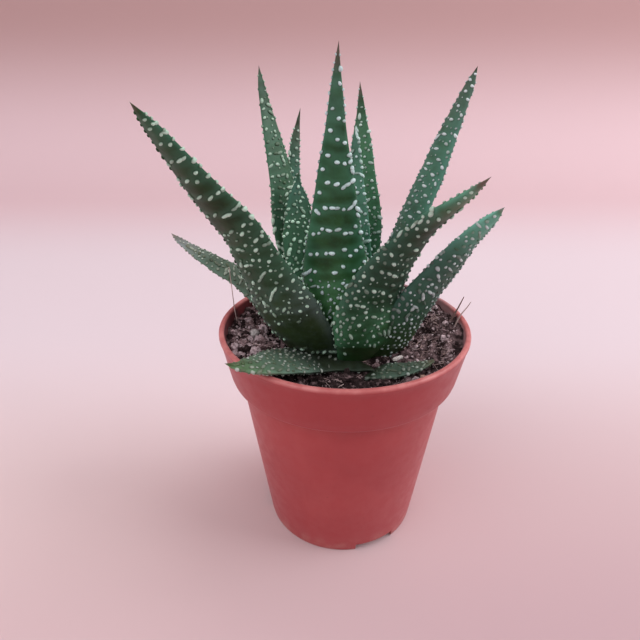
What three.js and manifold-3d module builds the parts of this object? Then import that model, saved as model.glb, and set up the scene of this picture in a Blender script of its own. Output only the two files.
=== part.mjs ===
import * as THREE from "three";
import Module from "manifold-3d";
import { mergeVertices } from "three/addons/utils/BufferGeometryUtils.js";

// A potted haworthia: a rosette of tapering succulent leaves on a short rooted stem, in peaty
// potting mix, in a small tapered plastic pot. Millimetres, +Z up; while it is built the pot's
// axis is X = Y = 0 and the surface that the pot stands on is Z = 0.

// ---------------------------------------------------------------- driving dimensions
// Pot
const POT_TOP_RADIUS = 27.5;        // lip, at its widest
const POT_HEIGHT = 51.4;
const POT_FOOT_RADIUS = 17.95;
const COLLAR_STEP_Z = 40.3;         // where the body meets the wider collar
const COLLAR_FOOT_RADIUS = 25.35;   // outside of the collar just above its step
const BODY_TOP_RADIUS = 23.45;      // outside of the body just under the step
const COLLAR_TOP_RADIUS = 27.3;     // outside of the collar just under the lip
const LIP_HEIGHT = 1.1;
const WALL = 0.95;
const BASE_RAISE = 2.0;             // underside of the base above the ground
const BASE_THICKNESS = 1.2;
const FOOT_RING_INNER_RADIUS = 16.5;
const FOOT_NOTCH_AZIMUTHS = [55, 175, 295];
const FOOT_NOTCH_WIDTH = 9.8;
const FOOT_NOTCH_HEIGHT = 1.9;
const DRAIN_HOLES = 6;
const DRAIN_HOLE_RADIUS = 1.8;
const DRAIN_CIRCLE_RADIUS = 12;
const POT_SEGMENTS = 56;

// Potting mix
const MIX_TOP_Z = 46.0;             // mean level of its surface
const MIX_LUMP_HEIGHT = 0.8;        // how far lumps rise and dip
const MIX_EDGE_RISE = 2.0;          // how far it is banked up towards the wall
const MIX_WALL_RISE = 0.9;          // and how much more against the wall itself, but for the front
const MIX_RIGHT_RISE = 1.0;         // and how much more at the right, where it nearly reaches the rim
const MIX_EDGE_RADIUS = 25.05;      // where its top ends beside the wall
const MIX_SEGMENTS = 36;

const CROWN_RADIUS = 10;            // how far from the axis the leaves' feet stand
const CROWN_FLOOR_Z = 43.0;

// Space left between neighbouring pieces
const GAP = 0.3;
const SMALLEST_DETAIL = 0.02;       // ripples lower than this are smoothed out of cut faces

// Stem and roots
const STEM_RADIUS = 2.7;
const STEM_TOP_Z = 46.6;
const STEM_FOOT_Z = 36.0;
const ROOT_RADIUS = 1.25;
const ROOTS = [
  // each root's centre line, from inside the stem outwards and down
  [[0.4, 0, 39.5], [4.5, -1.6, 36.5], [8.6, -4.6, 30.5], [10.4, -6.4, 22.5], [9.4, -7.6, 15.5]],
  [[0, 0.4, 38.6], [2.2, 4.6, 35.2], [5.6, 8.6, 29.0], [6.6, 11.0, 21.0], [5.0, 11.6, 13.0]],
  [[-0.4, 0.2, 39.2], [-4.4, 2.6, 35.6], [-8.6, 5.4, 29.5], [-10.8, 6.2, 21.5], [-10.2, 5.2, 14.0]],
  [[0, -0.4, 38.8], [-2.4, -4.4, 35.0], [-5.2, -8.8, 28.6], [-5.8, -11.2, 20.6], [-4.2, -11.4, 12.5]],
  [[0.2, 0, 36.8], [0.8, -0.4, 31.0], [-0.6, 0.8, 24.0], [0.8, 0.4, 17.0], [0.2, -0.4, 10.5]],
];

// Leaves. Azimuth is the compass direction the leaf leans to, anticlockwise from +X. Roll turns it
// about its own length. Upper and lower are the rise of its inner and outer faces over the line
// between its margins, as shares of its width. Keel sharpens the outer face along its middle.
// Each station is [x, y, z, width], from the tip to the foot.
const LEAVES = {
  leaf_heart: { azimuth: 200, roll: 0, upper: 0.14, lower: 0.42, keel: 0.1, stations: [
    [1.2, -0.6, 76, 0], [1.1, -0.51, 74.17, 1.23], [0.97, -0.43, 72.07, 2.46], [0.83, -0.37, 69.87, 3.51],
    [0.68, -0.31, 67.59, 4.44], [0.54, -0.23, 65.24, 5.2], [0.42, -0.12, 62.85, 5.82], [0.3, -0, 60.43, 6.36],
    [0.2, 0.1, 57.96, 6.6], [0.1, 0.17, 55.46, 6.52], [0.02, 0.2, 52.93, 6.3], [-0.02, 0.2, 50.38, 5.83],
    [0, 0.2, 47.8, 4.8],
  ] },
  leaf_inner_left: { azimuth: 150, roll: -22, upper: 0.12, lower: 0.34, keel: 0.1, stations: [
    [-9.64, 6, 83.03, 0], [-9.86, 5.54, 80.7, 1.5], [-9.83, 5.03, 78.01, 4.57], [-9.72, 4.49, 75.16, 6.64],
    [-9.6, 3.93, 72.2, 8.04], [-9.4, 3.37, 69.17, 8.81], [-8.87, 2.93, 66.15, 9.08], [-7.83, 2.67, 63.17, 9.08],
    [-6.47, 2.52, 60.21, 9.06], [-5.01, 2.4, 57.23, 9.04], [-3.69, 2.21, 54.17, 8.98], [-2.76, 1.84, 50.98, 8.17],
    [-2.5, 1.2, 47.6, 6.5],
  ] },
  leaf_inner_right: { azimuth: 48, roll: 0, upper: 0.12, lower: 0.34, keel: 0.1, stations: [
    [2.24, 8, 92.09, 0], [2.04, 7.43, 89.23, 1.65], [2.04, 6.76, 85.95, 2.5], [2.2, 6.05, 82.5, 3.43],
    [2.44, 5.33, 78.92, 4.23], [2.65, 4.62, 75.24, 5.07], [2.84, 3.97, 71.47, 5.75], [2.99, 3.4, 67.63, 6.34],
    [3.1, 2.91, 63.71, 7.32], [3.15, 2.46, 59.74, 8.37], [3.11, 2.02, 55.72, 8.95], [2.97, 1.55, 51.67, 8.33],
    [2.7, 1, 47.6, 6.5],
  ] },
  leaf_rear_left_inner: { azimuth: 112, roll: 0, upper: 0.12, lower: 0.36, keel: 0.2, stations: [
    [-9.56, 22, 93.99, 0], [-10.12, 20.38, 90.99, 0.91], [-10.65, 18.56, 87.56, 2.02], [-11.03, 16.66, 83.94, 2.5],
    [-11.17, 14.65, 80.18, 3.17], [-11.03, 12.53, 76.31, 4.35], [-10.77, 10.42, 72.36, 4.84], [-10.55, 8.5, 68.36, 5.24],
    [-10, 6.98, 64.31, 6.3], [-8.42, 6.08, 60.2, 7.73], [-5.11, 6.03, 56.05, 8.8], [0.26, 6.89, 51.81, 8.65],
    [-1.7, 4.6, 47, 7],
  ] },
  leaf_rear_centre: { azimuth: 72, roll: 0, upper: 0.12, lower: 0.34, keel: 0.2, stations: [
    [3.24, 17, 99.5, 0], [3.43, 16.05, 96.11, 1.16], [3.62, 14.98, 92.23, 2.36], [3.81, 13.85, 88.17, 3.86],
    [4.42, 12.74, 84, 4.01], [4.67, 11.59, 79.65, 4.73], [5.15, 10.37, 75.2, 5.72], [5.28, 9.3, 70.65, 6.28],
    [4.88, 8.43, 66.02, 6.86], [4.15, 7.66, 61.33, 8.34], [3.29, 6.86, 56.59, 9.69], [2.53, 5.92, 51.8, 9.51],
    [2.1, 4.7, 47, 7],
  ] },
  leaf_front_centre: { azimuth: 266, roll: 0, upper: 0.1, lower: 0.34, keel: 0.25, stations: [
    [-2.45, -17, 106.02, 0], [-2.62, -16.1, 102.15, 1.14], [-2.66, -15.13, 97.7, 2.37], [-2.71, -14.18, 93.01, 3.62],
    [-2.75, -13.25, 88.14, 5.36], [-2.61, -12.34, 83.13, 7.16], [-2.48, -11.52, 77.99, 8.85], [-2.52, -10.77, 72.75, 10.72],
    [-2.23, -9.88, 67.48, 12.23], [-1.66, -8.8, 62.2, 12.89], [-0.98, -7.56, 56.9, 12.67], [-0.39, -6.15, 51.57, 12.09],
    [-0.1, -4.6, 46.2, 8.5],
  ] },
  leaf_left_rear: { azimuth: 138, roll: 0, upper: 0.12, lower: 0.34, keel: 0.2, stations: [
    [-17.62, 14, 102.6, 0], [-17.16, 13.14, 98.88, 1.76], [-16.36, 12.19, 94.68, 2.97], [-15.37, 11.21, 90.28, 4.4],
    [-14.36, 10.21, 85.71, 5.6], [-13.54, 9.19, 80.98, 6.58], [-13.03, 8.15, 76.11, 6.96], [-12.53, 7.21, 71.17, 7.49],
    [-11.28, 6.53, 66.32, 8.29], [-9.34, 6.02, 61.52, 9.14], [-7.17, 5.5, 56.7, 9.8], [-5.28, 4.77, 51.76, 9.69],
    [-4.2, 3.6, 46.6, 7],
  ] },
  leaf_right_rear: { azimuth: 22, roll: 0, upper: 0.12, lower: 0.36, keel: 0.2, stations: [
    [26.35, 12, 102.41, 0], [24.88, 11.35, 98.77, 3.06], [23.16, 10.61, 94.61, 4.59], [21.36, 9.86, 90.21, 6.07],
    [19.58, 9.1, 85.62, 7.52], [17.91, 8.33, 80.86, 8.53], [15.91, 7.58, 76.11, 9.15], [14.48, 6.84, 71.16, 11.22],
    [12.6, 6.08, 66.5, 11.93], [9.96, 5.5, 61.89, 11.6], [8.31, 5, 56.61, 11.13], [6.96, 4.25, 51.15, 10.2],
    [5.2, 2.9, 46, 7.5],
  ] },
  leaf_left_front: { azimuth: 232, roll: 20, upper: 0.12, lower: 0.4, keel: 0.2, stations: [
    [-28.11, -36, 98.96, 0], [-27.12, -32.77, 96.15, 2.21], [-25.84, -29.35, 92.69, 3.61], [-24.28, -26.04, 88.85, 4.97],
    [-22.38, -22.91, 84.75, 6.57], [-20.09, -19.99, 80.51, 8.08], [-17.8, -17.27, 76.03, 8.5], [-16.12, -14.79, 71.05, 9.82],
    [-14.05, -12.67, 65.96, 11.38], [-11.88, -10.9, 60.66, 13.27], [-9.63, -9.24, 55.27, 13.49], [-7.28, -7.37, 49.94, 11.92],
    [-4.8, -5, 44.8, 8.5],
  ] },
  leaf_right_front: { azimuth: 293, roll: 0, upper: 0.12, lower: 0.38, keel: 0.15, stations: [
    [18.88, -29, 88.65, 0], [17.38, -26.8, 86.38, 2.36], [15.43, -24.41, 83.81, 4.32], [13.12, -22.08, 81.14, 6.31],
    [11.01, -19.92, 78.02, 6.71], [9.04, -17.92, 74.52, 8.74], [7.13, -16.07, 70.77, 10.57], [5.45, -14.35, 66.78, 12.4],
    [4.24, -12.74, 62.54, 13.08], [3.83, -11.24, 58.06, 14.63], [4.43, -9.82, 53.46, 15.02], [3.71, -7.96, 49.08, 12.23],
    [3, -6, 44.6, 8.5],
  ] },
  leaf_rear_low_centre: { azimuth: 91, roll: 0, upper: 0.12, lower: 0.38, keel: 0.2, stations: [
    [-1, 32, 61.5, 0], [-0.83, 29.9, 61.77, 1.99], [-0.65, 27.54, 61.63, 3.9], [-0.49, 25.13, 61.06, 5.39],
    [-0.34, 22.71, 60.12, 6.61], [-0.19, 20.33, 58.9, 7.68], [-0.04, 18, 57.51, 8.69], [0.11, 15.74, 55.96, 9.57],
    [0.24, 13.51, 54.25, 10.15], [0.34, 11.36, 52.38, 10.59], [0.4, 9.45, 50.26, 10.8], [0.42, 7.94, 47.83, 9.98],
    [0.4, 7, 45, 8],
  ] },
  leaf_rear_low_left: { azimuth: 125, roll: 0, upper: 0.12, lower: 0.38, keel: 0.2, stations: [
    [-18, 26.5, 58.5, 0], [-17.23, 24.71, 58.61, 1.62], [-16.23, 22.76, 58.45, 3.25], [-15.08, 20.82, 58.02, 4.66],
    [-13.84, 18.9, 57.34, 5.87], [-12.54, 17, 56.46, 6.94], [-11.26, 15.11, 55.44, 7.93], [-9.99, 13.24, 54.27, 8.86],
    [-8.74, 11.42, 52.93, 9.52], [-7.52, 9.69, 51.38, 9.98], [-6.38, 8.17, 49.56, 10.2], [-5.38, 6.96, 47.42, 9.39],
    [-4.6, 6.2, 44.9, 7.5],
  ] },
  leaf_rear_low_right: { azimuth: 58, roll: 0, upper: 0.12, lower: 0.38, keel: 0.2, stations: [
    [16, 26, 58, 0], [15.36, 24.28, 58.05, 1.64], [14.56, 22.39, 57.85, 3.29], [13.64, 20.48, 57.4, 4.69],
    [12.62, 18.59, 56.73, 5.87], [11.53, 16.74, 55.87, 6.91], [10.38, 14.92, 54.9, 7.9], [9.24, 13.12, 53.81, 8.84],
    [8.16, 11.34, 52.55, 9.52], [7.22, 9.57, 51.1, 9.98], [6.39, 7.98, 49.38, 10.2], [5.63, 6.79, 47.34, 9.4],
    [4.9, 6.2, 44.9, 7.5],
  ] },
  leaf_left_low: { azimuth: 155, roll: 0, upper: 0.12, lower: 0.38, keel: 0.2, stations: [
    [-40.85, 17, 66.61, 0], [-38.64, 15.83, 65.18, 2.19], [-35.98, 14.5, 63.8, 3.43], [-33.08, 13.09, 62.53, 5.04],
    [-30.03, 11.62, 61.31, 6.09], [-26.94, 10.11, 60.03, 7.04], [-23.87, 8.56, 58.58, 7.1], [-20.89, 6.95, 56.91, 7.76],
    [-18, 5.25, 54.99, 8.5], [-15.22, 3.44, 52.84, 8.91], [-12.02, 2.14, 51.17, 9.36], [-9.99, 2.22, 47.26, 10.05],
    [-7.2, 1.8, 44.4, 7.5],
  ] },
  leaf_right_low: { azimuth: 327, roll: -30, upper: 0.12, lower: 0.38, keel: 0.2, stations: [
    [25.73, -17, 81.28, 0], [24.12, -16.04, 79.1, 3.43], [22.29, -14.98, 76.58, 4.98], [20.52, -13.92, 73.81, 6.03],
    [18.88, -12.89, 70.81, 7.46], [17.28, -11.87, 67.67, 8.43], [15.56, -10.86, 64.53, 9.33], [13.81, -9.88, 61.31, 10.37],
    [12.35, -9, 57.85, 10.23], [11.09, -8.11, 54.24, 9.98], [9.85, -6.99, 50.66, 9.85], [8.54, -5.47, 47.23, 9.92],
    [7.2, -3.8, 43.8, 7.5],
  ] },
  leaf_front_low_left: { azimuth: 228, roll: -6, upper: 0.1, lower: 0.36, keel: 0.25, stations: [
    [-22.52, -23.21, 54.6, 0], [-20.1, -23.42, 54.22, 3.23], [-17.87, -22.32, 53.56, 5.57], [-15.98, -20.39, 52.66, 7.1],
    [-14.32, -18.12, 51.6, 8.45], [-12.71, -15.72, 50.45, 9.67], [-10.95, -13.4, 49.32, 10.54], [-8.79, -11.4, 48.32, 10.48],
    [-6.01, -9.96, 47.57, 9.96], [-2.72, -9.11, 47.01, 8.97], [0.62, -8.67, 46.42, 8.46], [3.49, -8.45, 45.57, 9.51],
    [3.4, -7.4, 43.6, 6.5],
  ] },
  leaf_front_low_right: { azimuth: 318, roll: 0, upper: 0.1, lower: 0.36, keel: 0.25, stations: [
    [18.21, -11.74, 48.6, 0], [17.29, -12.11, 48.28, 2.47], [16.15, -12.47, 47.97, 3.92], [14.87, -12.76, 47.68, 4.71],
    [13.49, -12.95, 47.43, 5.29], [12.06, -13.04, 47.18, 5.96], [10.62, -12.98, 46.92, 6.68], [9.21, -12.77, 46.63, 7.26],
    [7.9, -12.39, 46.27, 7.72], [6.74, -11.82, 45.8, 8.09], [5.79, -11.04, 45.2, 7.85], [5.12, -10.04, 44.41, 6.89],
    [4.8, -8.8, 43.4, 6],
  ] },
};

// Loose bits lying half sunk in the potting mix: centre, half sizes, turn about Z.
const BITS = {
  bark_chip: { at: [11.2, -8.0, 46.6], half: [1.6, 0.45, 0.38], turn: 30, seed: 3 },
  grey_clod: { at: [-20.0, -1.0, 48.9], half: [1.3, 1.1, 1.0], turn: 60, seed: 8 },
  tan_chip: { at: [15.3, -17.0, 47.3], half: [1.2, 0.7, 0.6], turn: -20, seed: 5 },
};

// Loft resolution
const LEAF_UPPER_POINTS = 3;        // points along the inner face between the margins
const LEAF_LOWER_POINTS = 6;        // points along the outer face between the margins

// ---------------------------------------------------------------- solids
const wasm = await Module();
wasm.setup();

function toSolid(geometry) {
  const g = geometry.clone();
  g.deleteAttribute("normal");
  g.deleteAttribute("uv");
  const merged = mergeVertices(g, 1e-4);
  const index = merged.index.array;
  const tris = [];
  for (let i = 0; i < index.length; i += 3) {
    const [a, b, c] = [index[i], index[i + 1], index[i + 2]];
    if (a !== b && b !== c && c !== a) tris.push(a, b, c);
  }
  return new wasm.Manifold(new wasm.Mesh({
    numProp: 3,
    vertProperties: new Float32Array(merged.attributes.position.array),
    triVerts: new Uint32Array(tris),
  }));
}

function toGeometry(solid) {
  const mesh = solid.getMesh();
  const g = new THREE.BufferGeometry();
  const p = new Float32Array(mesh.numVert * 3);
  for (let i = 0; i < mesh.numVert; i++) {
    for (let k = 0; k < 3; k++) p[i * 3 + k] = mesh.vertProperties[i * mesh.numProp + k];
  }
  g.setAttribute("position", new THREE.BufferAttribute(p, 3));
  g.setIndex(Array.from(mesh.triVerts));
  return g;
}

function largestBody(solid) {
  const bodies = solid.decompose();
  bodies.sort((a, b) => b.volume() - a.volume());
  return bodies[0];
}

// A closed skin over rings of points. Every ring has the same count; a ring may be one point.
function loftRings(rings) {
  const pos = [];
  const start = [];
  for (const ring of rings) {
    start.push(pos.length / 3);
    for (const p of ring) pos.push(p.x, p.y, p.z);
  }
  const tri = [];
  for (let i = 0; i + 1 < rings.length; i++) {
    const a = rings[i].length;
    const b = rings[i + 1].length;
    const n = Math.max(a, b);
    for (let j = 0; j < n; j++) {
      const k = (j + 1) % n;
      const a0 = start[i] + (a > 1 ? j : 0);
      const a1 = start[i] + (a > 1 ? k : 0);
      const b0 = start[i + 1] + (b > 1 ? j : 0);
      const b1 = start[i + 1] + (b > 1 ? k : 0);
      if (a > 1) tri.push(a0, a1, b0);
      if (b > 1) tri.push(a1, b1, b0);
    }
  }
  const g = new THREE.BufferGeometry();
  g.setAttribute("position", new THREE.Float32BufferAttribute(pos, 3));
  g.setIndex(tri);
  return g;
}

function faceOut(geometry) {
  const p = geometry.attributes.position;
  const t = geometry.index.array;
  let v = 0;
  const a = new THREE.Vector3();
  const b = new THREE.Vector3();
  const c = new THREE.Vector3();
  for (let i = 0; i < t.length; i += 3) {
    a.fromBufferAttribute(p, t[i]);
    b.fromBufferAttribute(p, t[i + 1]);
    c.fromBufferAttribute(p, t[i + 2]);
    v += a.dot(b.cross(c));
  }
  if (v < 0) {
    const f = Array.from(t);
    for (let i = 0; i < f.length; i += 3) [f[i + 1], f[i + 2]] = [f[i + 2], f[i + 1]];
    geometry.setIndex(f);
  }
  return geometry;
}

// Repeatable roughness: a smooth sum of waves, between about -1 and 1.
function lumps(x, y) {
  return (
    Math.sin(x * 0.92 + 1.3) * Math.cos(y * 0.81 - 0.4) * 0.5 +
    Math.sin(x * 1.93 - y * 1.27 + 2.1) * 0.3 +
    Math.cos(x * 0.37 + y * 2.31 + 0.7) * 0.25
  );
}

function smooth(a, b, v) {
  const t = Math.min(Math.max((v - a) / (b - a), 0), 1);
  return t * t * (3 - 2 * t);
}

// Height of the mix: lumpy, and banked up against the wall, least at the front and most at the right.
function mixTop(x, y) {
  const r = Math.hypot(x, y);
  const side = smooth(-0.85, -0.15, y / Math.max(r, 1e-6));
  return MIX_TOP_Z + MIX_LUMP_HEIGHT * lumps(x, y) + MIX_EDGE_RISE * smooth(11, 22, r) * (0.45 + 0.55 * side)
    + MIX_WALL_RISE * smooth(15, 25, r) * side
    + MIX_RIGHT_RISE * smooth(17, 25, r) * smooth(6, 18, x) * smooth(-12, -2, y);
}

// ---------------------------------------------------------------- leaves
const deg = (d) => (d * Math.PI) / 180;

function leafSolid(leaf, grow) {
  const st = leaf.stations.map((s) => ({ p: new THREE.Vector3(s[0], s[1], s[2]), w: s[3] }));
  const n = st.length;
  const az = deg(leaf.azimuth);
  const across0 = new THREE.Vector3(-Math.sin(az), Math.cos(az), 0);
  const outward = new THREE.Vector3(Math.cos(az), Math.sin(az), 0);
  const toStem = new THREE.Vector3(0, 0, 0.5).sub(outward);
  const rings = [];
  for (let i = 0; i < n; i++) {
    const f = i / (n - 1);
    const along = st[Math.max(i - 1, 0)].p.clone().sub(st[Math.min(i + 1, n - 1)].p).normalize();
    const b = across0.clone().addScaledVector(along, -across0.dot(along)).normalize();
    const nn = new THREE.Vector3().crossVectors(along, b);
    if (nn.dot(toStem) < 0) nn.negate();
    const r = deg(leaf.roll);
    const across = b.clone().multiplyScalar(Math.cos(r)).addScaledVector(nn, Math.sin(r));
    const inner = nn.clone().multiplyScalar(Math.cos(r)).addScaledVector(b, -Math.sin(r));
    if (i === 0) {
      rings.push([st[0].p.clone().addScaledVector(along, grow)]);
      continue;
    }
    const g = Math.pow(f, 1.1);
    const nearTip = Math.min(Math.max(1 - g / 0.35, 0), 1);
    const nearFoot = Math.min(Math.max((g - 0.75) / 0.25, 0), 1);
    const up = leaf.upper * (1 + 0.9 * nearTip);
    const low = leaf.lower * (1 + 0.35 * nearTip) * (1 - 0.25 * nearFoot);
    const keel = Math.min(leaf.keel + 0.35 * Math.min(Math.max(1 - g / 0.6, 0), 1), 0.8);
    const w = Math.max(st[i].w, 0.5);
    const ring = (scale, lift) => {
      const pts = [];
      const put = (x, y, nx, ny) => {
        const gx = (x * w * scale) / 2 + nx * grow;
        const gy = (y * w * scale) / 2 + ny * grow;
        pts.push(st[i].p.clone().addScaledVector(along, lift)
          .addScaledVector(across, gx).addScaledVector(inner, gy));
      };
      put(1, 0, 1, 0);
      for (let k = 1; k <= LEAF_UPPER_POINTS; k++) {
        const t = (Math.PI * k) / (LEAF_UPPER_POINTS + 1);
        const x = Math.cos(t);
        put(x, up * Math.sin(t), 0.5 * x, 1);
      }
      put(-1, 0, -1, 0);
      for (let k = 1; k <= LEAF_LOWER_POINTS; k++) {
        const t = Math.PI + (Math.PI * k) / (LEAF_LOWER_POINTS + 1);
        const x = Math.cos(t);
        const y = (1 - keel) * Math.sqrt(1 - x * x) + keel * (1 - Math.abs(x));
        put(x, -low * y, 0.6 * x, -1);
      }
      return pts;
    };
    rings.push(ring(1, 0));
    if (i === n - 1) {
      rings.push(ring(0.72, -0.8 - grow));
      rings.push([st[i].p.clone().addScaledVector(along, -1.1 - grow)]);
    }
  }
  return toSolid(faceOut(loftRings(rings)));
}

// ---------------------------------------------------------------- pot
function potSolid() {
  const innerAt = (z) => {
    // inside radius of the wall, following the outside
    if (z < COLLAR_STEP_Z + 0.8) {
      const t = (z - 0) / COLLAR_STEP_Z;
      return POT_FOOT_RADIUS + (BODY_TOP_RADIUS - POT_FOOT_RADIUS) * t - WALL;
    }
    const t = (z - COLLAR_STEP_Z) / (POT_HEIGHT - LIP_HEIGHT - COLLAR_STEP_Z);
    return COLLAR_FOOT_RADIUS + (COLLAR_TOP_RADIUS - COLLAR_FOOT_RADIUS) * t - WALL;
  };
  const floorTop = BASE_RAISE + BASE_THICKNESS;
  const lipZ = POT_HEIGHT - LIP_HEIGHT;
  const profile = [
    [0, BASE_RAISE],
    [FOOT_RING_INNER_RADIUS - 0.2, BASE_RAISE],
    [FOOT_RING_INNER_RADIUS, 0],
    [POT_FOOT_RADIUS - 0.35, 0],
    [POT_FOOT_RADIUS, 0.4],
    [BODY_TOP_RADIUS, COLLAR_STEP_Z - 0.1],
    [COLLAR_FOOT_RADIUS - 0.45, COLLAR_STEP_Z + 0.15],
    [COLLAR_FOOT_RADIUS, COLLAR_STEP_Z + 0.95],
    [COLLAR_TOP_RADIUS, lipZ - 0.1],
    [POT_TOP_RADIUS, lipZ + 0.35],
    [POT_TOP_RADIUS - 0.03, POT_HEIGHT - 0.35],
    [POT_TOP_RADIUS - 0.4, POT_HEIGHT],
    [innerAt(lipZ) + 0.3, POT_HEIGHT],
    [innerAt(lipZ), POT_HEIGHT - 0.4],
    [innerAt(lipZ - 0.8), lipZ - 0.8],
    [innerAt(COLLAR_STEP_Z + 2.2), COLLAR_STEP_Z + 2.2],
    [innerAt(COLLAR_STEP_Z - 1.0), COLLAR_STEP_Z - 0.6],
    [innerAt(floorTop + 0.8), floorTop + 0.8],
    [innerAt(floorTop) - 0.7, floorTop],
    [0, floorTop],
  ].map(([r, z]) => new THREE.Vector2(r, z));
  const lathe = new THREE.LatheGeometry(profile, POT_SEGMENTS);
  lathe.rotateX(Math.PI / 2);
  let pot = toSolid(faceOut(lathe));
  for (const a of FOOT_NOTCH_AZIMUTHS) {
    const box = new THREE.BoxGeometry(6, FOOT_NOTCH_WIDTH, FOOT_NOTCH_HEIGHT * 2);
    box.translate(POT_FOOT_RADIUS - 0.6, 0, 0);
    box.rotateZ(deg(a));
    pot = pot.subtract(toSolid(box));
  }
  for (let i = 0; i < DRAIN_HOLES; i++) {
    const hole = new THREE.CylinderGeometry(DRAIN_HOLE_RADIUS, DRAIN_HOLE_RADIUS, 8, 12);
    hole.rotateX(Math.PI / 2);
    const a = deg((360 * i) / DRAIN_HOLES + 15);
    hole.translate(DRAIN_CIRCLE_RADIUS * Math.cos(a), DRAIN_CIRCLE_RADIUS * Math.sin(a), BASE_RAISE + 0.6);
    pot = pot.subtract(toSolid(hole));
  }
  return { pot, innerAt, floorTop };
}

// ---------------------------------------------------------------- potting mix
function mixSolid(innerAt, floorTop) {
  const wall = GAP + 0.02;
  // the inside radius of a many-sided wall is a little less between its corners
  const fit = (z) => (innerAt(z) - wall) * Math.cos(Math.PI / POT_SEGMENTS) - 0.02;
  const radii = [MIX_EDGE_RADIUS, 22.6, 19.8, 17.0, 14.1, 11.1, 7.4, 3.7];
  const profile = [
    [0, floorTop + GAP],
    [fit(floorTop + 1.2) - 1.1, floorTop + GAP],
    [fit(floorTop + 2.0), floorTop + 2.0],
    [fit(COLLAR_STEP_Z - 1.2), COLLAR_STEP_Z - 1.2],
    [fit(COLLAR_STEP_Z + 3.0) - 0.25, COLLAR_STEP_Z + 3.0],
    [fit(MIX_TOP_Z - 0.9) - 0.1, MIX_TOP_Z - 0.9],
    ...radii.map((r) => [r, MIX_TOP_Z]),
    [0, MIX_TOP_Z],
  ].map(([r, z]) => new THREE.Vector2(r, z));
  const lathe = new THREE.LatheGeometry(profile, MIX_SEGMENTS);
  lathe.rotateX(Math.PI / 2);
  const p = lathe.attributes.position;
  for (let i = 0; i < p.count; i++) {
    if (p.getZ(i) > MIX_TOP_Z - 0.1) {
      p.setZ(i, mixTop(p.getX(i), p.getY(i)));
    }
  }
  return toSolid(faceOut(lathe));
}

// ---------------------------------------------------------------- stem and roots
function rootSolid(points, radius, grow) {
  const curve = new THREE.CatmullRomCurve3(points.map((q) => new THREE.Vector3(...q)));
  const steps = 9;
  const sides = 7;
  const frames = curve.computeFrenetFrames(steps, false);
  const rings = [[curve.getPoint(0).addScaledVector(frames.tangents[0], -grow)]];
  for (let i = 0; i <= steps; i++) {
    const t = i / steps;
    const r = radius * (1 - 0.62 * t) + grow;
    const c = curve.getPointAt(t);
    const ring = [];
    for (let k = 0; k < sides; k++) {
      const a = (2 * Math.PI * k) / sides;
      ring.push(c.clone().addScaledVector(frames.normals[i], r * Math.cos(a))
        .addScaledVector(frames.binormals[i], r * Math.sin(a)));
    }
    rings.push(ring);
  }
  rings.push([curve.getPoint(1).addScaledVector(frames.tangents[steps], radius * 0.4 + grow)]);
  return toSolid(faceOut(loftRings(rings)));
}

function stemSolid(grow) {
  const r = STEM_RADIUS + grow;
  const profile = [
    [0, STEM_FOOT_Z - grow],
    [r * 0.62, STEM_FOOT_Z - grow],
    [r * 0.92, STEM_FOOT_Z + 2],
    [r, STEM_FOOT_Z + 5.5],
    [r * 0.9, STEM_TOP_Z - 1.4 + grow],
    [r * 0.5, STEM_TOP_Z + grow],
    [0, STEM_TOP_Z + 0.1 + grow],
  ].map(([x, z]) => new THREE.Vector2(x, z));
  const lathe = new THREE.LatheGeometry(profile, 14);
  lathe.rotateX(Math.PI / 2);
  let solid = toSolid(faceOut(lathe));
  for (const root of ROOTS) solid = solid.add(rootSolid(root, ROOT_RADIUS, grow));
  return solid;
}

// ---------------------------------------------------------------- loose bits
function bitSolid(bit, grow) {
  const g = new THREE.IcosahedronGeometry(1, 1);
  const p = g.attributes.position;
  for (let i = 0; i < p.count; i++) {
    const [x, y, z] = [p.getX(i), p.getY(i), p.getZ(i)];
    const k = 1 + 0.16 * Math.sin(x * 5.1 + bit.seed) * Math.cos(y * 4.3 - bit.seed) + 0.1 * Math.sin(z * 6 + bit.seed * 2);
    p.setXYZ(i, x * k * (bit.half[0] + grow), y * k * (bit.half[1] + grow), z * k * (bit.half[2] + grow));
  }
  g.rotateZ(deg(bit.turn));
  g.translate(...bit.at);
  return toSolid(g);
}

// ---------------------------------------------------------------- assembly
const { pot, innerAt, floorTop } = potSolid();
const stem = stemSolid(0);
const stemRoom = stemSolid(GAP);

const leafSolids = {};
const rooms = [];
for (const [name, leaf] of Object.entries(LEAVES)) {
  let solid = leafSolid(leaf, 0).subtract(stemRoom);
  for (const room of rooms) solid = solid.subtract(room);
  leafSolids[name] = largestBody(solid.simplify(SMALLEST_DETAIL));
  rooms.push(leafSolid(leaf, GAP));
}

// The leaves' feet stand together in one hollow of the mix; leaves that lie on it press their own.
const footReach = new THREE.CylinderGeometry(CROWN_RADIUS, CROWN_RADIUS, 20, 24);
footReach.rotateX(Math.PI / 2);
footReach.translate(0, 0, MIX_TOP_Z + 0.6 - 10);
const footRegion = toSolid(footReach);
let feet = stemRoom.intersect(footRegion).trimByPlane([0, 0, 1], CROWN_FLOOR_Z);
for (const room of rooms) feet = feet.add(room.intersect(footRegion));
let mix = mixSolid(innerAt, floorTop).subtract(stemRoom).subtract(feet.hull());
for (const room of rooms) mix = mix.subtract(room);
const bits = {};
for (const [name, bit] of Object.entries(BITS)) {
  bits[name] = bitSolid(bit, 0);
  mix = mix.subtract(bitSolid(bit, GAP));
}
mix = largestBody(mix.simplify(SMALLEST_DETAIL * 2));

const LEAF_COLOURS = {
  leaf_left_front: 0x3a5a43, leaf_left_low: 0x5f7d68, leaf_right_low: 0x4d7a66, leaf_front_low_left: 0x5c7f5f,
  leaf_front_centre: 0x33593f, leaf_right_front: 0x36543f, leaf_right_rear: 0x3c6b55,
};

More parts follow.
